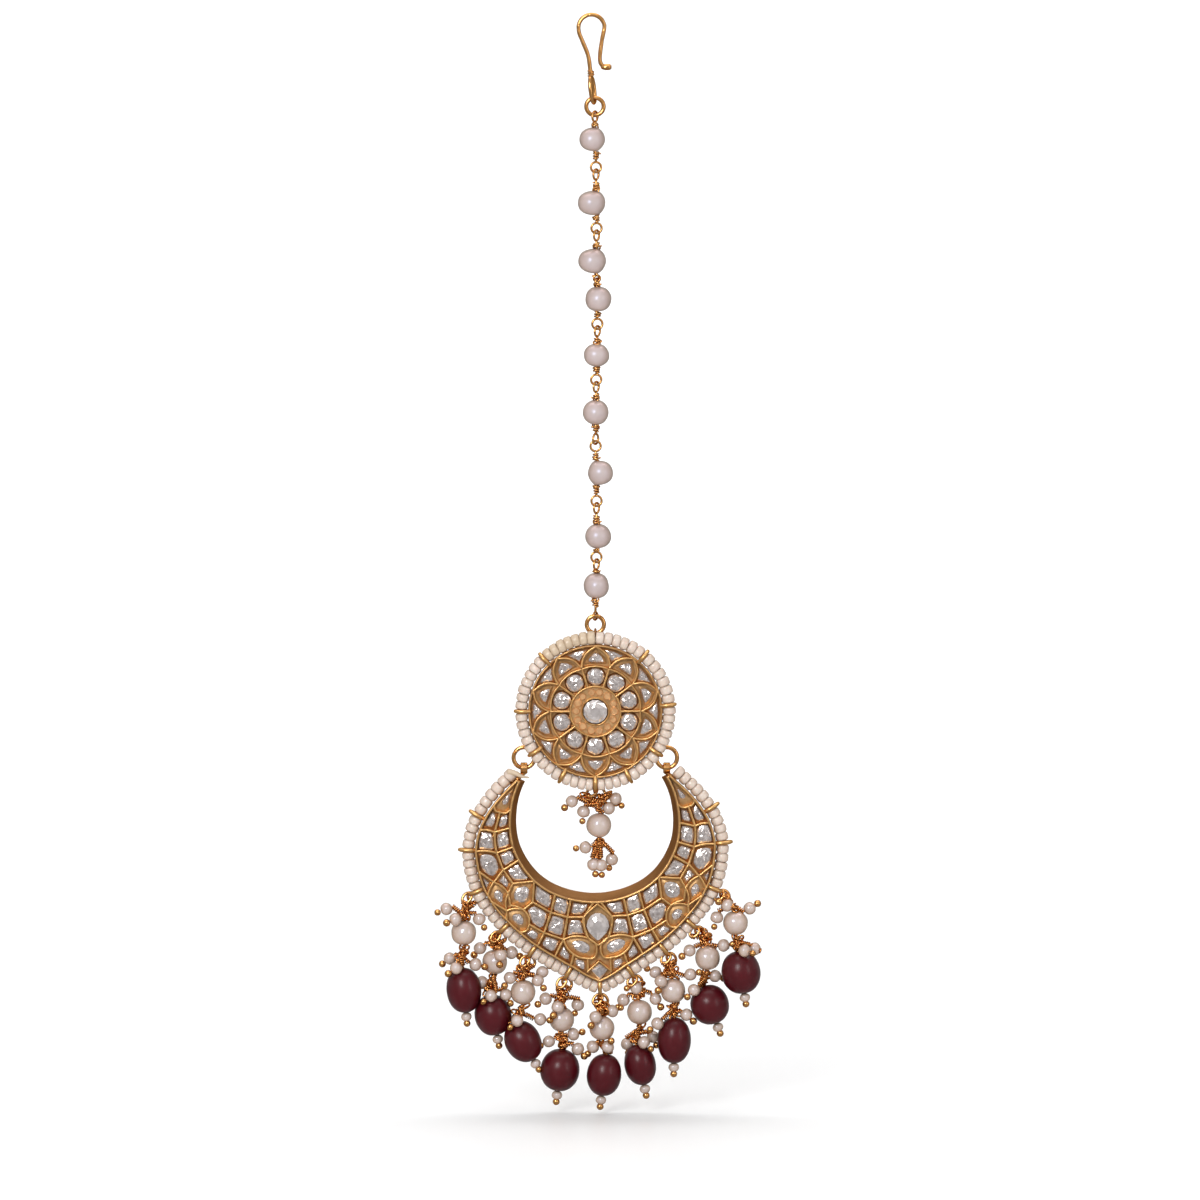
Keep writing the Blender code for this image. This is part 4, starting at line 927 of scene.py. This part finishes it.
def petal_cells(walls, stones, beds, wells, middle, chance):
    """A petal's walls, and the stones of its round well, of its middle and of the gap beside it."""
    front, foot = DISC_FRONT, DISC_FRONT + WALL_FOOT
    half = 180 / PETALS
    edge = middle + half
    spoke = [disc_point(edge, radius) for radius in (PEACH_WALL, 4.7, 5.5, 6.3, 7.0)]
    wall(walls, spoke, DISC_WALL, front, foot, chance)
    arch = [disc_point(middle + half * step / 6, ARCH_FOOT + ARCH_RISE * math.cos(math.pi * step / 12))
            for step in range(-6, 7)]
    wall(walls, arch, DISC_WALL * 0.9, front + 0.02, foot, chance)
    for side in (-1, 1):
        start, tip = disc_point(middle + side * half, PETAL_SHOULDER), disc_point(middle, PETAL_TIP)
        wall(walls, bowed(start, tip, side * PETAL_SIDE_BOW, 12), DISC_WALL, front, foot, chance)
    well = round_outline(disc_point(middle, ROUND_CIRCLE), ROUND_WELL, 24)
    set_stone(stones, wells, well, ROUND_STONE / ROUND_WELL, 0.1, front, chance, 1.3, 16, WELL_EDGE)
    petal = [disc_point(middle + turn, radius)
             for turn, radius in ((-13.0, 7.65), (13.0, 7.65), (9.0, 8.6), (0, 9.75), (-9.0, 8.6))]
    set_stone(stones, beds, petal, chance.uniform(0.70, 0.80), 0.15, front, chance)
    gap = [disc_point(edge + turn, radius) for turn, radius in
           ((0, 7.75), (7.0, 8.9), (12.5, 9.95), (0, 10.0), (-12.5, 9.95), (-7.0, 8.9))]
    set_stone(stones, beds, gap, chance.uniform(0.66, 0.76), 0.10, front, chance)


def disc():
    disc_side()
    chance = random.Random(21)
    front, foot = DISC_FRONT, DISC_FRONT + WALL_FOOT
    floor, walls, stones, beds, wells, peach = [Shape() for _ in range(6)]
    floor.add(circle(DISC_RADIUS - 0.2, 96, foot), [range(96)])
    beds.skin([circle(radius, 60, front + 0.45) for radius in (CENTRE_BEZEL, PEACH_WALL)], caps=False)
    for radius, steps, width, back in ((DISC_RADIUS - DISC_RIM_WALL * 0.62, 120, 0.30, -0.02),
                                       (CENTRE_BEZEL, 48, 0.26, 0.06), (PEACH_WALL, 72, 0.30, 0.0)):
        wall(walls, circle(radius, steps), width, front + back, foot, chance, True)
    for number in range(PETALS):
        middle = 90 + 360 / PETALS * number + chance.uniform(-0.7, 0.7)
        petal_cells(walls, stones, beds, wells, middle, chance)
    for number in range(PEACH_STONES):
        spot = disc_point(360 / PEACH_STONES * number + chance.uniform(-2.5, 2.5),
                          PEACH_CIRCLE + chance.uniform(-0.05, 0.05))
        ring = round_outline(spot, PEACH_STONE * chance.uniform(1.0, 1.18), 10, chance.uniform(0, 1))
        peach.skin([moved(ring, front + 0.95), moved(ring, front + 0.34),
                    moved([point.lerp(spot, 0.34) for point in ring], front + 0.08)])
    # The round wells' beds are the darker gold of painted recess shade
    for name, shape, finish, smooth in (
            ("floor", floor, TAN_GOLD, SMOOTH), ("walls", walls, FRAME_GOLD, ROUND_WALL),
            ("beds", beds, TAN_GOLD, SMOOTH), ("wells", wells, SHADED_BED_GOLD, SMOOTH),
            ("stones", stones, CLEAR_STONE, CUT), ("peach_stones", peach, PEACH, CUT)):
        make("disc_" + name, shape, finish, "disc", (), smooth)

    spot = Vector((DISC_X, 0, DISC_Z))
    levels = [(1.0, front + 0.80), (1.0, front + 0.05), (0.74, front - 0.22), (0.42, front - 0.36)]
    gem = Shape().skin([moved(round_outline(spot, CENTRE_STONE * share, 12, row * math.pi / 12), depth)
                        for row, (share, depth) in enumerate(levels)])
    make("disc_centre_gem", gem, GEM, "disc", ["disc_centre_stone"], CUT)

    rods = Shape()
    for degrees in DISC_STAPLES:
        foot = disc_point(degrees, DISC_RADIUS, DISC_RIM_Y)
        staple_rod(rods, foot, facing(math.radians(degrees)), DISC_STAPLE_END)
    make("disc_staples", rods, FRAME_GOLD, "disc", (), ROUND_WIRE)

    stops = sorted([degrees % 360 for degrees in DISC_STAPLES] + [DISC_SEAM])
    seat = DISC_RADIUS + SEED_SEAT
    fresh, aged = [], []
    for bead in string_of_beads(lambda degrees: disc_point(degrees, seat, DISC_RIM_Y),
                                stops + [stops[0] + 360], 33, (DISC_SEAM,)):
        degrees = math.degrees(math.atan2(bead[0].z - DISC_Z, bead[0].x - DISC_X))
        (aged if DISC_SEAM < degrees < AGED_END else fresh).append(bead)
    thread = [disc_point(degrees, seat, DISC_RIM_Y) for degrees in range(0, 361, 5)]
    seed_string("disc_seeds", fresh, "disc", "disc_bead_rim", thread)
    make("disc_aged_seeds", strung(aged, 1.03, 1.05), CREAM_SEED, "disc", (), ROUND_SEED)


# The crescent


def read_table(table, degrees):
    """The value of a table of angles at an angle to either side, between its rows."""
    degrees = abs(degrees)
    for (low, first), (high, second) in zip(table, table[1:]):
        if degrees <= high:
            return first + (second - first) * (degrees - low) / (high - low)
    return table[-1][1]


def crescent_outer(degrees):
    return read_table(OUTLINE, degrees) * LONGEST


def crescent_inner(degrees):
    return INNER - read_table(INNER_EDGE, degrees)


def crescent_point(degrees, radius, depth=0.0):
    turn = math.radians(degrees + LEAN)
    return Vector((CRESCENT_X + radius * math.sin(turn), depth, CRESCENT_Z - radius * math.cos(turn)))


def across(degrees, share):
    """A point of the crescent's face, from 0 at its inner wall to 1 at its outer one."""
    low, high = crescent_inner(degrees) + CELL_INSET, crescent_outer(degrees) - CELL_INSET
    return crescent_point(degrees, low + (high - low) * share)


def rim_outward(degrees):
    before, after = [crescent_point(near, crescent_outer(near)) for near in (degrees - 3, degrees + 3)]
    along = (after - before).normalized()
    return Vector((along.z, 0, -along.x))


def rim_point(degrees, away=0.0):
    """A point at a distance outside the crescent's rim, at the depth of its staples."""
    return crescent_point(degrees, crescent_outer(degrees), CRESCENT_RIM_Y) + rim_outward(degrees) * away


def cell_side(first, second, side):
    """The wall between two joins, as points in the order walked. Along a rim it follows the rim."""
    start, end = JOINS[first], JOINS[second]
    for starts, share in ((RIM_STARTS, 1.0), (INNER_STARTS, 0.0)):
        if first in starts and second in starts:
            turns_to = [start[0] + (end[0] - start[0]) * step / 8 for step in range(9)]
            return [across(side * degrees, share) for degrees in turns_to], True
    if "tip" in (first, second):
        knots = [start, ((start[0] + end[0]) / 2, 0.98 if end[1] > 0.9 or start[1] > 0.9 else 0.02), end]
        return smooth_path([across(side * degrees, share) for degrees, share in knots]), True
    bow = BOWED_WALLS.get((first, second), -BOWED_WALLS.get((second, first), 0.0))
    return bowed(across(side * start[0], start[1]), across(side * end[0], end[1]), bow * side), False


def crescent_cells(walls, stones, beds, tan_beds, chance):
    front, foot = CRESCENT_FRONT, CRESCENT_FRONT + WALL_FOOT
    drawn = set()
    for name, joins, size, roundness in CELLS:
        joins = joins.split()
        for side in (1, -1):
            outline = []
            for first, second in zip(joins, joins[1:] + joins[:1]):
                points, on_rim = cell_side(first, second, side)
                outline += points[:-1]
                edge = (side, *sorted((first, second)))
                if edge not in drawn and not on_rim:
                    wall(walls, points, CRESCENT_WALL, front, foot, chance)
                    drawn.add(edge)
            set_stone(stones, tan_beds if name in TAN_CELLS else beds, drawn_in(outline, 0.10),
                      size * chance.uniform(0.98, 1.07), roundness, front, chance)


def middle_cells(walls, stones, chance):
    """The pointed cell of the pear stone and the kite under it."""
    front, foot = CRESCENT_FRONT, CRESCENT_FRONT + WALL_FOOT
    for side in (1, -1):
        knots = [across(side * JOINS[join][0], JOINS[join][1]) for join in ("o1", "l6", "o2", "o3", "o4")]
        wall(walls, smooth_path(knots), CRESCENT_WALL, front - 0.03, foot, chance)
        wall(walls, [across(0, 0.75), across(side * 2.2, 0.84), across(side * 4.4, 0.95)],
             CRESCENT_WALL * 0.9, front, foot, chance)
    corners = [across(0, 0.775), across(3.2, 0.90), across(0, 1.0), across(-3.2, 0.90)]
    middle = flat_middle(corners)
    stones.skin([moved([middle.lerp(corner, share) for corner in corners], front + depth)
                 for share, depth in ((1.0, 0.80), (1.0, GIRDLE - 0.1), (0.42, GIRDLE - 0.42))])


def band(shape, end):
    """A broad strip folded round a side ring and soldered to the tip of the crescent."""
    axis = Vector((SIDE_RING_X[end], 0, SWING_Z))
    section = [(-0.56, 0.0), (-0.46, 0.18), (0.46, 0.18), (0.56, 0.0), (0.46, -0.10), (-0.46, -0.10)]
    shape.skin([[axis + around(turn, AWAY, UP) * (BAIL - 0.05 + thick) + RIGHT * wide
                 for wide, thick in section] for turn in turns(28, -math.pi / 2)], closed=True)
    tip = crescent_point(end * 114, INNER + 0.8)
    top = axis - UP * BAIL
    shape.skin([[top.lerp(tip, share) + around(turn, RIGHT * wide, AWAY * deep) for turn in turns(12)]
                for share, wide, deep in ((0.0, 0.52, 0.34), (0.5, 0.58, 0.44), (1.0, 0.64, 0.62))])


def crescent():
    chance = random.Random(57)
    front, back, wide = CRESCENT_FRONT, CRESCENT_BACK, CRESCENT_RIM_WALL
    foot = front + WALL_FOOT
    steps = [degrees * 1.7 for degrees in range(-70, 71)]

    def outer_row(inward, depth=0.0):
        return [crescent_point(degrees, crescent_outer(degrees), depth) - rim_outward(degrees) * inward
                for degrees in steps]

    def inner_row(inward, depth=0.0):
        return [crescent_point(degrees, crescent_inner(degrees) - inward, depth) for degrees in steps]

    side, bails, floor, walls, stones, beds, tan_beds, rods = [Shape() for _ in range(8)]
    rows = [outer_row(wide, foot + 0.3), outer_row(wide, front + 0.12), outer_row(wide / 2, front),
            outer_row(0.03, front + 0.05), outer_row(0.0, front + 0.14), outer_row(0.30, back - 0.12),
            outer_row(0.42, back), inner_row(INNER_FLARE - 0.10, back), inner_row(INNER_FLARE, back - 0.12),
            inner_row(0.03, front + 0.14), inner_row(0.0, front + 0.05), inner_row(-wide / 2, front),
            inner_row(-wide, front + 0.12), inner_row(-wide, foot + 0.3)]
    side.skin(list(zip(*rows)))
    floor.skin(list(zip(outer_row(0.3, foot), inner_row(-0.3, foot), inner_row(-0.3, foot + 0.2),
                        outer_row(0.3, foot + 0.2))))
    for path in (outer_row(wide * 0.52), inner_row(-wide * 0.50)):
        wall(walls, path, wide * 0.96, front - 0.03, foot, chance)
    for end in (-1, 1):
        band(bails, end)
        inner, outer = crescent_inner(END) + 0.1, crescent_outer(END) - 0.1
        wall(walls, [crescent_point(end * END, radius) for radius in (inner, outer)], wide, front, foot)
    crescent_cells(walls, stones, beds, tan_beds, chance)
    middle_cells(walls, stones, chance)
    make("crescent_side", side, SIDE_GOLD, "crescent", ["crescent_frame"])

    spot = across(0, 0.305)
    gem = []
    for share, depth in ((1.0, 0.80), (1.0, 0.04), (0.76, -0.24), (0.44, -0.42)):
        ring = []
        for turn in turns(14):
            narrow = 1 - 0.62 * max(0, -math.sin(turn)) ** 1.6
            ring.append(spot + share * around(turn, RIGHT * narrow * MIDDLE_STONE[0] / 2,
                                              UP * MIDDLE_STONE[1] / 2))
        gem.append(moved(ring, front + depth))
    for degrees in CRESCENT_STAPLES:
        staple_rod(rods, rim_point(degrees), rim_outward(degrees), CRESCENT_STAPLE_END)
    # The crescent's beds are the darker gold of painted recess shade; its tan beds are not
    for name, shape, finish, smooth, *nodes in (
            ("bails", bails, BRIGHT_GOLD, ROUND_WALL), ("floor", floor, TAN_GOLD, SMOOTH),
            ("walls", walls, FRAME_GOLD, ROUND_WALL), ("beds", beds, SHADED_BED_GOLD, SMOOTH),
            ("tan_beds", tan_beds, TAN_GOLD, SMOOTH), ("stones", stones, CLEAR_STONE, CUT),
            ("centre_gem", Shape().skin(gem), GEM, CUT, "crescent_centre_stone"),
            ("staples", rods, FRAME_GOLD, ROUND_WIRE)):
        make("crescent_" + name, shape, finish, "crescent", nodes, smooth)

    first, last = SEED_STRING_ENDS
    beads = string_of_beads(lambda degrees: rim_point(degrees, SEED_SEAT),
                            [first, *CRESCENT_STAPLES, last], 71)
    thread = [rim_point(degrees, SEED_SEAT) for degrees in range(first + 1, last, 3)]
    seed_string("crescent_seeds", beads, "crescent", "crescent_bead_rim", thread)
    wisp = smooth_path(STRING_WISP, 4)
    radii = [WISP_WIDE - WISP_THINNER * step for step in range(len(wisp))]
    make("crescent_string_end", tube(Shape(), wisp, radii, 12, flat=0.7), CREAM_SEED, "crescent")


# Drops


def clear_depth(x, z, bead=None):
    """How far before or behind the pearl a small pearl lies to clear it, and the maroon bead under it."""
    reach = DROP_PEARL_WIDTH / 2 + SMALL_PEARL + 0.04
    inside = (x * x + z * z) / reach ** 2
    depth = reach * math.sqrt(1 - inside) if inside < 1 else 0.0
    if bead:
        away, drop, width, height = bead
        wide, high = width / 2 + SMALL_PEARL + 0.04, height / 2 + SMALL_PEARL + 0.04
        inside = ((x - away) / wide) ** 2 + ((z - drop) / high) ** 2
        depth = max(depth, wide * math.sqrt(1 - inside) if inside < 1 else 0.0)
    return max(0.45, depth)


def rope(wires, path, radius, wire, chance):
    """A wire along the path, wound over closely with a finer one."""
    tube(wires, path, wire, 6)
    for start, end in zip(path, path[1:]):
        length = (end - start).length
        if length > wire:
            count = max(1.0, length / (wire * 2.5))
            coil(wires, start, end, radius, count, wire * 0.95, chance.uniform(0, 6))


def cluster(wires, pearls, balls, pearl_spot, rows, stem, chance, bead=None):
    """Small pearls on wound pins that spring from the stem, each with a ball at its end."""
    for x, z, lean, ball_x, ball_z in rows:
        spot = pearl_spot + Vector((x, lean * clear_depth(x, z, bead), z))
        out = Vector((ball_x, lean * 0.35, ball_z)).normalized()
        end = spot + out * (SMALL_PEARL + 0.10)
        pearl(pearls, spot, SMALL_PEARL * 2 * chance.uniform(0.96, 1.03), SMALL_PEARL * 1.86, out,
              chance.uniform(0, 9), hole=0.15, sides=18, bands=11, rough=0.03)
        ball(balls, end + out * END_BALL * 0.72, END_BALL * chance.uniform(0.92, 1.08), out, 14, 8)
        start = stem[0].lerp(stem[1], chance.uniform(0.15, 0.85))
        inner = spot - out * (SMALL_PEARL + 0.05)
        bend = Vector((chance.uniform(-0.2, 0.2), lean * 0.25, chance.uniform(0.0, 0.3)))
        bend += start.lerp(inner, 0.5)
        rope(wires, [start, bend, inner], PIN_WIRE * 2.5, PIN_WIRE, chance)
        tube(wires, [inner, spot - out * 0.5], PIN_WIRE, 6)


def tangle(wires, start, end, radius, chance):
    """Wire wound loosely round the stem in uneven turns."""
    side, other = frame_of((end - start).normalized())
    count = (end - start).length / 0.66
    steps = max(12, round(count * 9))
    phase = chance.uniform(0, math.tau)
    wobble = chance.uniform(0.5, 1.3)
    path = []
    for step in range(steps + 1):
        share = step / steps
        swell = radius * (0.52 + 0.26 * math.sin(share * math.pi)
                          + 0.22 * math.sin(7 * share * wobble + phase))
        drift = 0.12 * math.sin(11 * share + phase)
        path.append(start.lerp(end, min(1, max(0, share + drift * share * (1 - share))))
                    + swell * around(phase - math.tau * count * share, side, other))
    tube(wires, path, DROP_WIRE * 0.92, 6)


def small_loops(wires, start, end, count, size, chance):
    """Loops of wire hooked round the stem, each turned its own way."""
    along = (end - start).normalized()
    for number in range(count):
        out = around(chance.uniform(0, math.tau), RIGHT, AWAY * 0.8)
        out = (out + along * chance.uniform(-0.7, 0.7)).normalized()
        other = around(chance.uniform(0.2, 1.2), along, out.cross(along)).normalized()
        radius = size * chance.uniform(0.80, 1.15)
        middle = start.lerp(end, (number + chance.uniform(0.2, 0.8)) / count)
        middle += out * radius * chance.uniform(0.6, 1.0)
        tube(wires, ring_path(middle, radius, out, other, 14, 0.82), DROP_WIRE * 1.05, closed=True)


def hanging_loops(wires, loops, hold, neck, spread, chance):
    """Two oval loops over the staple, leaning apart, and the wound wires from them to the drop's neck."""
    for side, sag in ((-1, 0.0), (1, 0.12)):
        lean = Vector((side * spread, side * 0.12, -0.60)).normalized()
        wide = Vector((1, side * 0.3, 0))
        wide = (wide - lean * wide.dot(lean)).normalized()
        middle = hold + AWAY * side * 0.20 + lean * (LOOP_HALF - 0.26 + sag)
        tube(loops, ring_path(middle, LOOP_HALF, lean, wide, 22, 0.70), DROP_WIRE * 1.55, closed=True)
        foot = middle + lean * LOOP_HALF
        path = [foot - lean * 0.1, foot.lerp(neck, 0.5) + RIGHT * side * 0.18, neck]
        rope(wires, path, 0.34, DROP_WIRE * 0.95, chance)


def end_of_drop(wires, pearls, balls, bead, along, half, last):
    """The tiny pearl and the ball under a maroon bead, on the end of its wire."""
    spot = bead + along * (half + TINY_PEARL_HEIGHT / 2 + 0.06)
    pearl(pearls, spot, TINY_PEARL_WIDTH, TINY_PEARL_HEIGHT, along, half, hole=0.13, sides=18, bands=10,
          rough=0.03)
    far = (last - bead).length > half + TINY_PEARL_HEIGHT + END_BALL
    tip = last if far else spot + along * (TINY_PEARL_HEIGHT / 2 + 0.34)
    ball(balls, tip, END_BALL, along, 16, 9)
    tube(wires, [bead + along * (half - 0.4), tip], DROP_WIRE, 6)


def drops():
    small_pearls, balls, loops = Shape(), Shape(), Shape()
    for number, (staple, to_pearl, to_bead, to_ball, width, height, depth) in enumerate(DROPS, 1):
        chance = random.Random(100 + number)
        hold = rim_point(CRESCENT_STAPLES[staple], CRESCENT_STAPLE_END)
        spot = hold + Vector((to_pearl[0], depth, to_pearl[1]))
        bead = spot + Vector((to_bead[0], 0, to_bead[1]))
        last = bead + Vector((to_ball[0], 0, to_ball[1]))
        first, second = (bead - spot).normalized(), (last - bead).normalized()
        half = DROP_PEARL_HEIGHT / 2 + STEM_GAP
        over, under = spot - first * half, spot + first * half
        above = bead - second * (height / 2 + STEM_GAP)
        neck = hold.lerp(over, 0.55) + UP * 0.1
        wires = Shape()
        hanging_loops(wires, loops, hold, neck, LOOP_SPREAD, chance)
        rope(wires, [neck, over], 0.30, DROP_WIRE, chance)
        tube(wires, [over, spot, under], DROP_WIRE, 6)
        rope(wires, [under, under.lerp(above, 0.5) + RIGHT * -0.1, above], 0.30, DROP_WIRE, chance)
        tube(wires, [above, bead], DROP_WIRE, 6)
        tangle(wires, neck + UP * 0.5, over + UP * 0.1, 0.60, chance)
        small_loops(wires, neck + UP * 0.8, over + UP * 0.3, 13, 0.62, chance)
        tangle(wires, under - UP * 0.1, above + UP * 0.1, 0.55, chance)
        small_loops(wires, under - UP * 0.3, above + UP * 0.3, 11, 0.58, chance)
        top, low = TOP_PEARLS[number - 1], LOW_PEARLS[number - 1]
        cluster(wires, small_pearls, balls, spot, top, (neck.lerp(over, 0.15), over), chance)
        cluster(wires, small_pearls, balls, spot, low, (under, above), chance, (*to_bead, width, height))
        end_of_drop(wires, small_pearls, balls, bead, second, height / 2, last)
        make(f"drop_{number}_wires", wires, COPPER, "crescent", [f"drop_wire_{number}"], ROUND_WIRE)
        middle = pearl(Shape(), spot, DROP_PEARL_WIDTH, DROP_PEARL_HEIGHT, first, number * 2.3)
        make(f"drop_{number}_pearl", middle, DROP_PEARL, "crescent", [f"drop_pearl_{number}"], ROUND_PEARL)
        oval = pearl(Shape(), bead, width * 1.03, height * 1.03, second, number * 0.9, hole=0.34, sides=32,
                     bands=22, rough=0.008)
        make(f"drop_{number}_maroon", oval, MAROON, "crescent", [f"drop_bead_{number}"], ROUND_PEARL)
    make("drop_small_pearls", small_pearls, DROP_PEARL, "crescent", (), ROUND_PEARL)
    make("drop_end_balls", balls, BRIGHT_GOLD, "crescent")
    make("drop_loops", loops, BRIGHT_GOLD, "crescent", (), ROUND_WIRE)


def centre_drop():
    chance = random.Random(9)
    hold, spot, tip = [Vector((DISC_X + x, 0, DISC_Z + z)) for x, z in ((0, CENTRE_DROP_TOP), (0.55, -18.05),
                                                                         (0.50, -24.20))]
    wires, pearls, balls = Shape(), Shape(), Shape()
    half = DROP_PEARL_HEIGHT / 2 + STEM_GAP
    over, under = spot + UP * half, spot - UP * half
    neck = hold.lerp(over, 0.5)
    hanging_loops(wires, balls, hold, neck, 0.95, chance)
    rope(wires, [neck, over], 0.30, DROP_WIRE, chance)
    rope(wires, [spot, tip + UP * 0.8], 0.26, DROP_WIRE, chance)
    for side in (-1, 1):
        tangle(wires, hold + Vector((side * 1.25, 0, -0.7)), neck + Vector((side * 0.2, 0, -0.5)), 0.50,
               chance)
        small_loops(wires, hold + Vector((side * 1.5, 0, -0.6)), neck + Vector((side * 0.3, 0, -0.4)), 9,
                    0.58, chance)
    tangle(wires, neck, over + UP * 0.1, 0.50, chance)
    tangle(wires, under - UP * 0.1, under - UP * 2.3, 0.45, chance)
    small_loops(wires, under - UP * 0.3, under - UP * 2.6, 11, 0.56, chance)
    cluster(wires, pearls, balls, spot, CENTRE_TOP_PEARLS, (neck, over), chance)
    cluster(wires, pearls, balls, spot, CENTRE_LOW_PEARLS, (under, under - UP * 1.2), chance)
    make("centre_drop_wires", wires, COPPER, "disc", ["centre_drop_wire"], ROUND_WIRE)
    middle = pearl(Shape(), spot, DROP_PEARL_WIDTH, DROP_PEARL_HEIGHT, UP, 5.1)
    make("centre_drop_grown", middle, DROP_PEARL, "disc", ["centre_drop_pearl"], ROUND_PEARL)
    make("centre_small_pearls", pearls, DROP_PEARL, "disc", (), ROUND_PEARL)
    make("centre_end_balls", balls, BRIGHT_GOLD, "disc")


# Floor, light and camera


def pale_paper():
    """The backdrop's paper, which is clear from behind so that the piece can be seen from there too."""
    made = material("pale_floor", (0.93, 0.93, 0.93), (0.90, 0.90, 0.90), 12, (0.30, 0.38), (300, 0.02))
    tree = made.node_tree
    side = add_node(tree, "NewGeometry")
    paper, clear = tree.nodes["Principled BSDF"], add_node(tree, "BsdfTransparent")
    either = add_node(tree, "MixShader", [(0, side.outputs["Backfacing"]), (1, paper.outputs[0]),
                                          (2, clear.outputs[0])])
    tree.links.new(either.outputs[0], tree.nodes["Material Output"].inputs["Surface"])
    return made


def stage():
    """A pale floor that runs up into the backdrop through a wide cove."""
    profile = [(FLOOR_FRONT, FLOOR_Z)]
    for step in range(13):
        turn = math.pi / 2 * step / 12
        profile.append((FLOOR_BACK - COVE + COVE * math.sin(turn), FLOOR_Z + COVE - COVE * math.cos(turn)))
    profile.append((FLOOR_BACK, WALL_TOP))
    points = [Vector((x, y, z)) * MM for y, z in profile for x in (-FLOOR_HALF, FLOOR_HALF)]
    mesh = bpy.data.meshes.new("floor")
    rows = range(0, len(points) - 2, 2)
    mesh.from_pydata(points, [], [(row, row + 1, row + 3, row + 2) for row in rows])
    mesh.materials.append(pale_paper())
    mesh.shade_smooth()
    floor = bpy.data.objects.new("floor", mesh)
    bpy.context.scene.collection.objects.link(floor)
    floor.visible_glossy = False


def soft_light(name, place, size, power, target):
    data = bpy.data.lights.new(name, "AREA")
    data.shape = "RECTANGLE"
    data.size, data.size_y = size[0] * MM, size[1] * MM
    data.energy = power
    light = bpy.data.objects.new(name, data)
    light.location = Vector(place) * MM
    light.rotation_euler = (Vector(target) - Vector(place)).to_track_quat("-Z", "Y").to_euler()
    bpy.context.scene.collection.objects.link(light)


def studio_world():
    """Light from all round, a little uneven and brighter from above, and pale where the camera sees it."""
    world = bpy.data.worlds.new("studio")
    world.use_nodes = True
    tree = world.node_tree
    direction = add_node(tree, "TexCoord").outputs["Generated"]
    parts = add_node(tree, "SeparateXYZ", [(0, direction)])
    height = add_node(tree, "MapRange", [("Value", parts.outputs["Z"])],
                      [("From Min", -0.1), ("From Max", 0.9), ("To Min", WORLD_LOW), ("To Max", WORLD_HIGH)])
    patches = add_node(tree, "TexNoise", [("Vector", direction)], [("Scale", 2.4), ("Detail", 1.0)])
    spread = add_node(tree, "MapRange", [("Value", patches.outputs["Fac"])],
                      [("From Min", 0.38), ("From Max", 0.62), ("To Min", 0.55), ("To Max", 1.45)])
    product = add_node(tree, "Math", [(0, height.outputs[0]), (1, spread.outputs[0])], operation="MULTIPLY")
    strength = add_node(tree, "Mix", [(0, add_node(tree, "LightPath").outputs["Is Camera Ray"]),
                                      (2, product.outputs[0])], [(3, WORLD_SEEN)])
    background = tree.nodes["Background"]
    tree.links.new(strength.outputs[0], background.inputs["Strength"])
    background.inputs["Color"].default_value = (1, 1, 1, 1)
    bpy.context.scene.world = world


def camera_at_photo():
    data = bpy.data.cameras.new("camera")
    data.sensor_width = SENSOR
    data.lens = SENSOR * CAMERA_AWAY / (PHOTO_SIDE * PIXEL)
    data.clip_start, data.clip_end = 0.01, 10
    camera = bpy.data.objects.new("camera", data)
    rise = math.radians(CAMERA_RISE)
    away = Vector((0, -math.cos(rise), math.sin(rise)))
    camera.location = (PHOTO_MIDDLE + away * CAMERA_AWAY) * MM
    camera.rotation_euler = (-away).to_track_quat("-Z", "Y").to_euler()
    bpy.context.scene.collection.objects.link(camera)
    bpy.context.scene.camera = camera
    bpy.context.scene.view_settings.view_transform = "Standard"


hair_hook()
jump_ring("hook_ring", "chain", HOOK_RING, 2.2)
chain()
jump_ring("disc_ring", "disc", DISC_RING, 1.0)
jump_ring("side_ring_left", "disc", SIDE_RING, 2.6)
jump_ring("side_ring_right", "disc", SIDE_RING, 0.6)
disc()
crescent()
drops()
centre_drop()
stage()
studio_world()
for row in LIGHTS:
    soft_light(*row)
camera_at_photo()
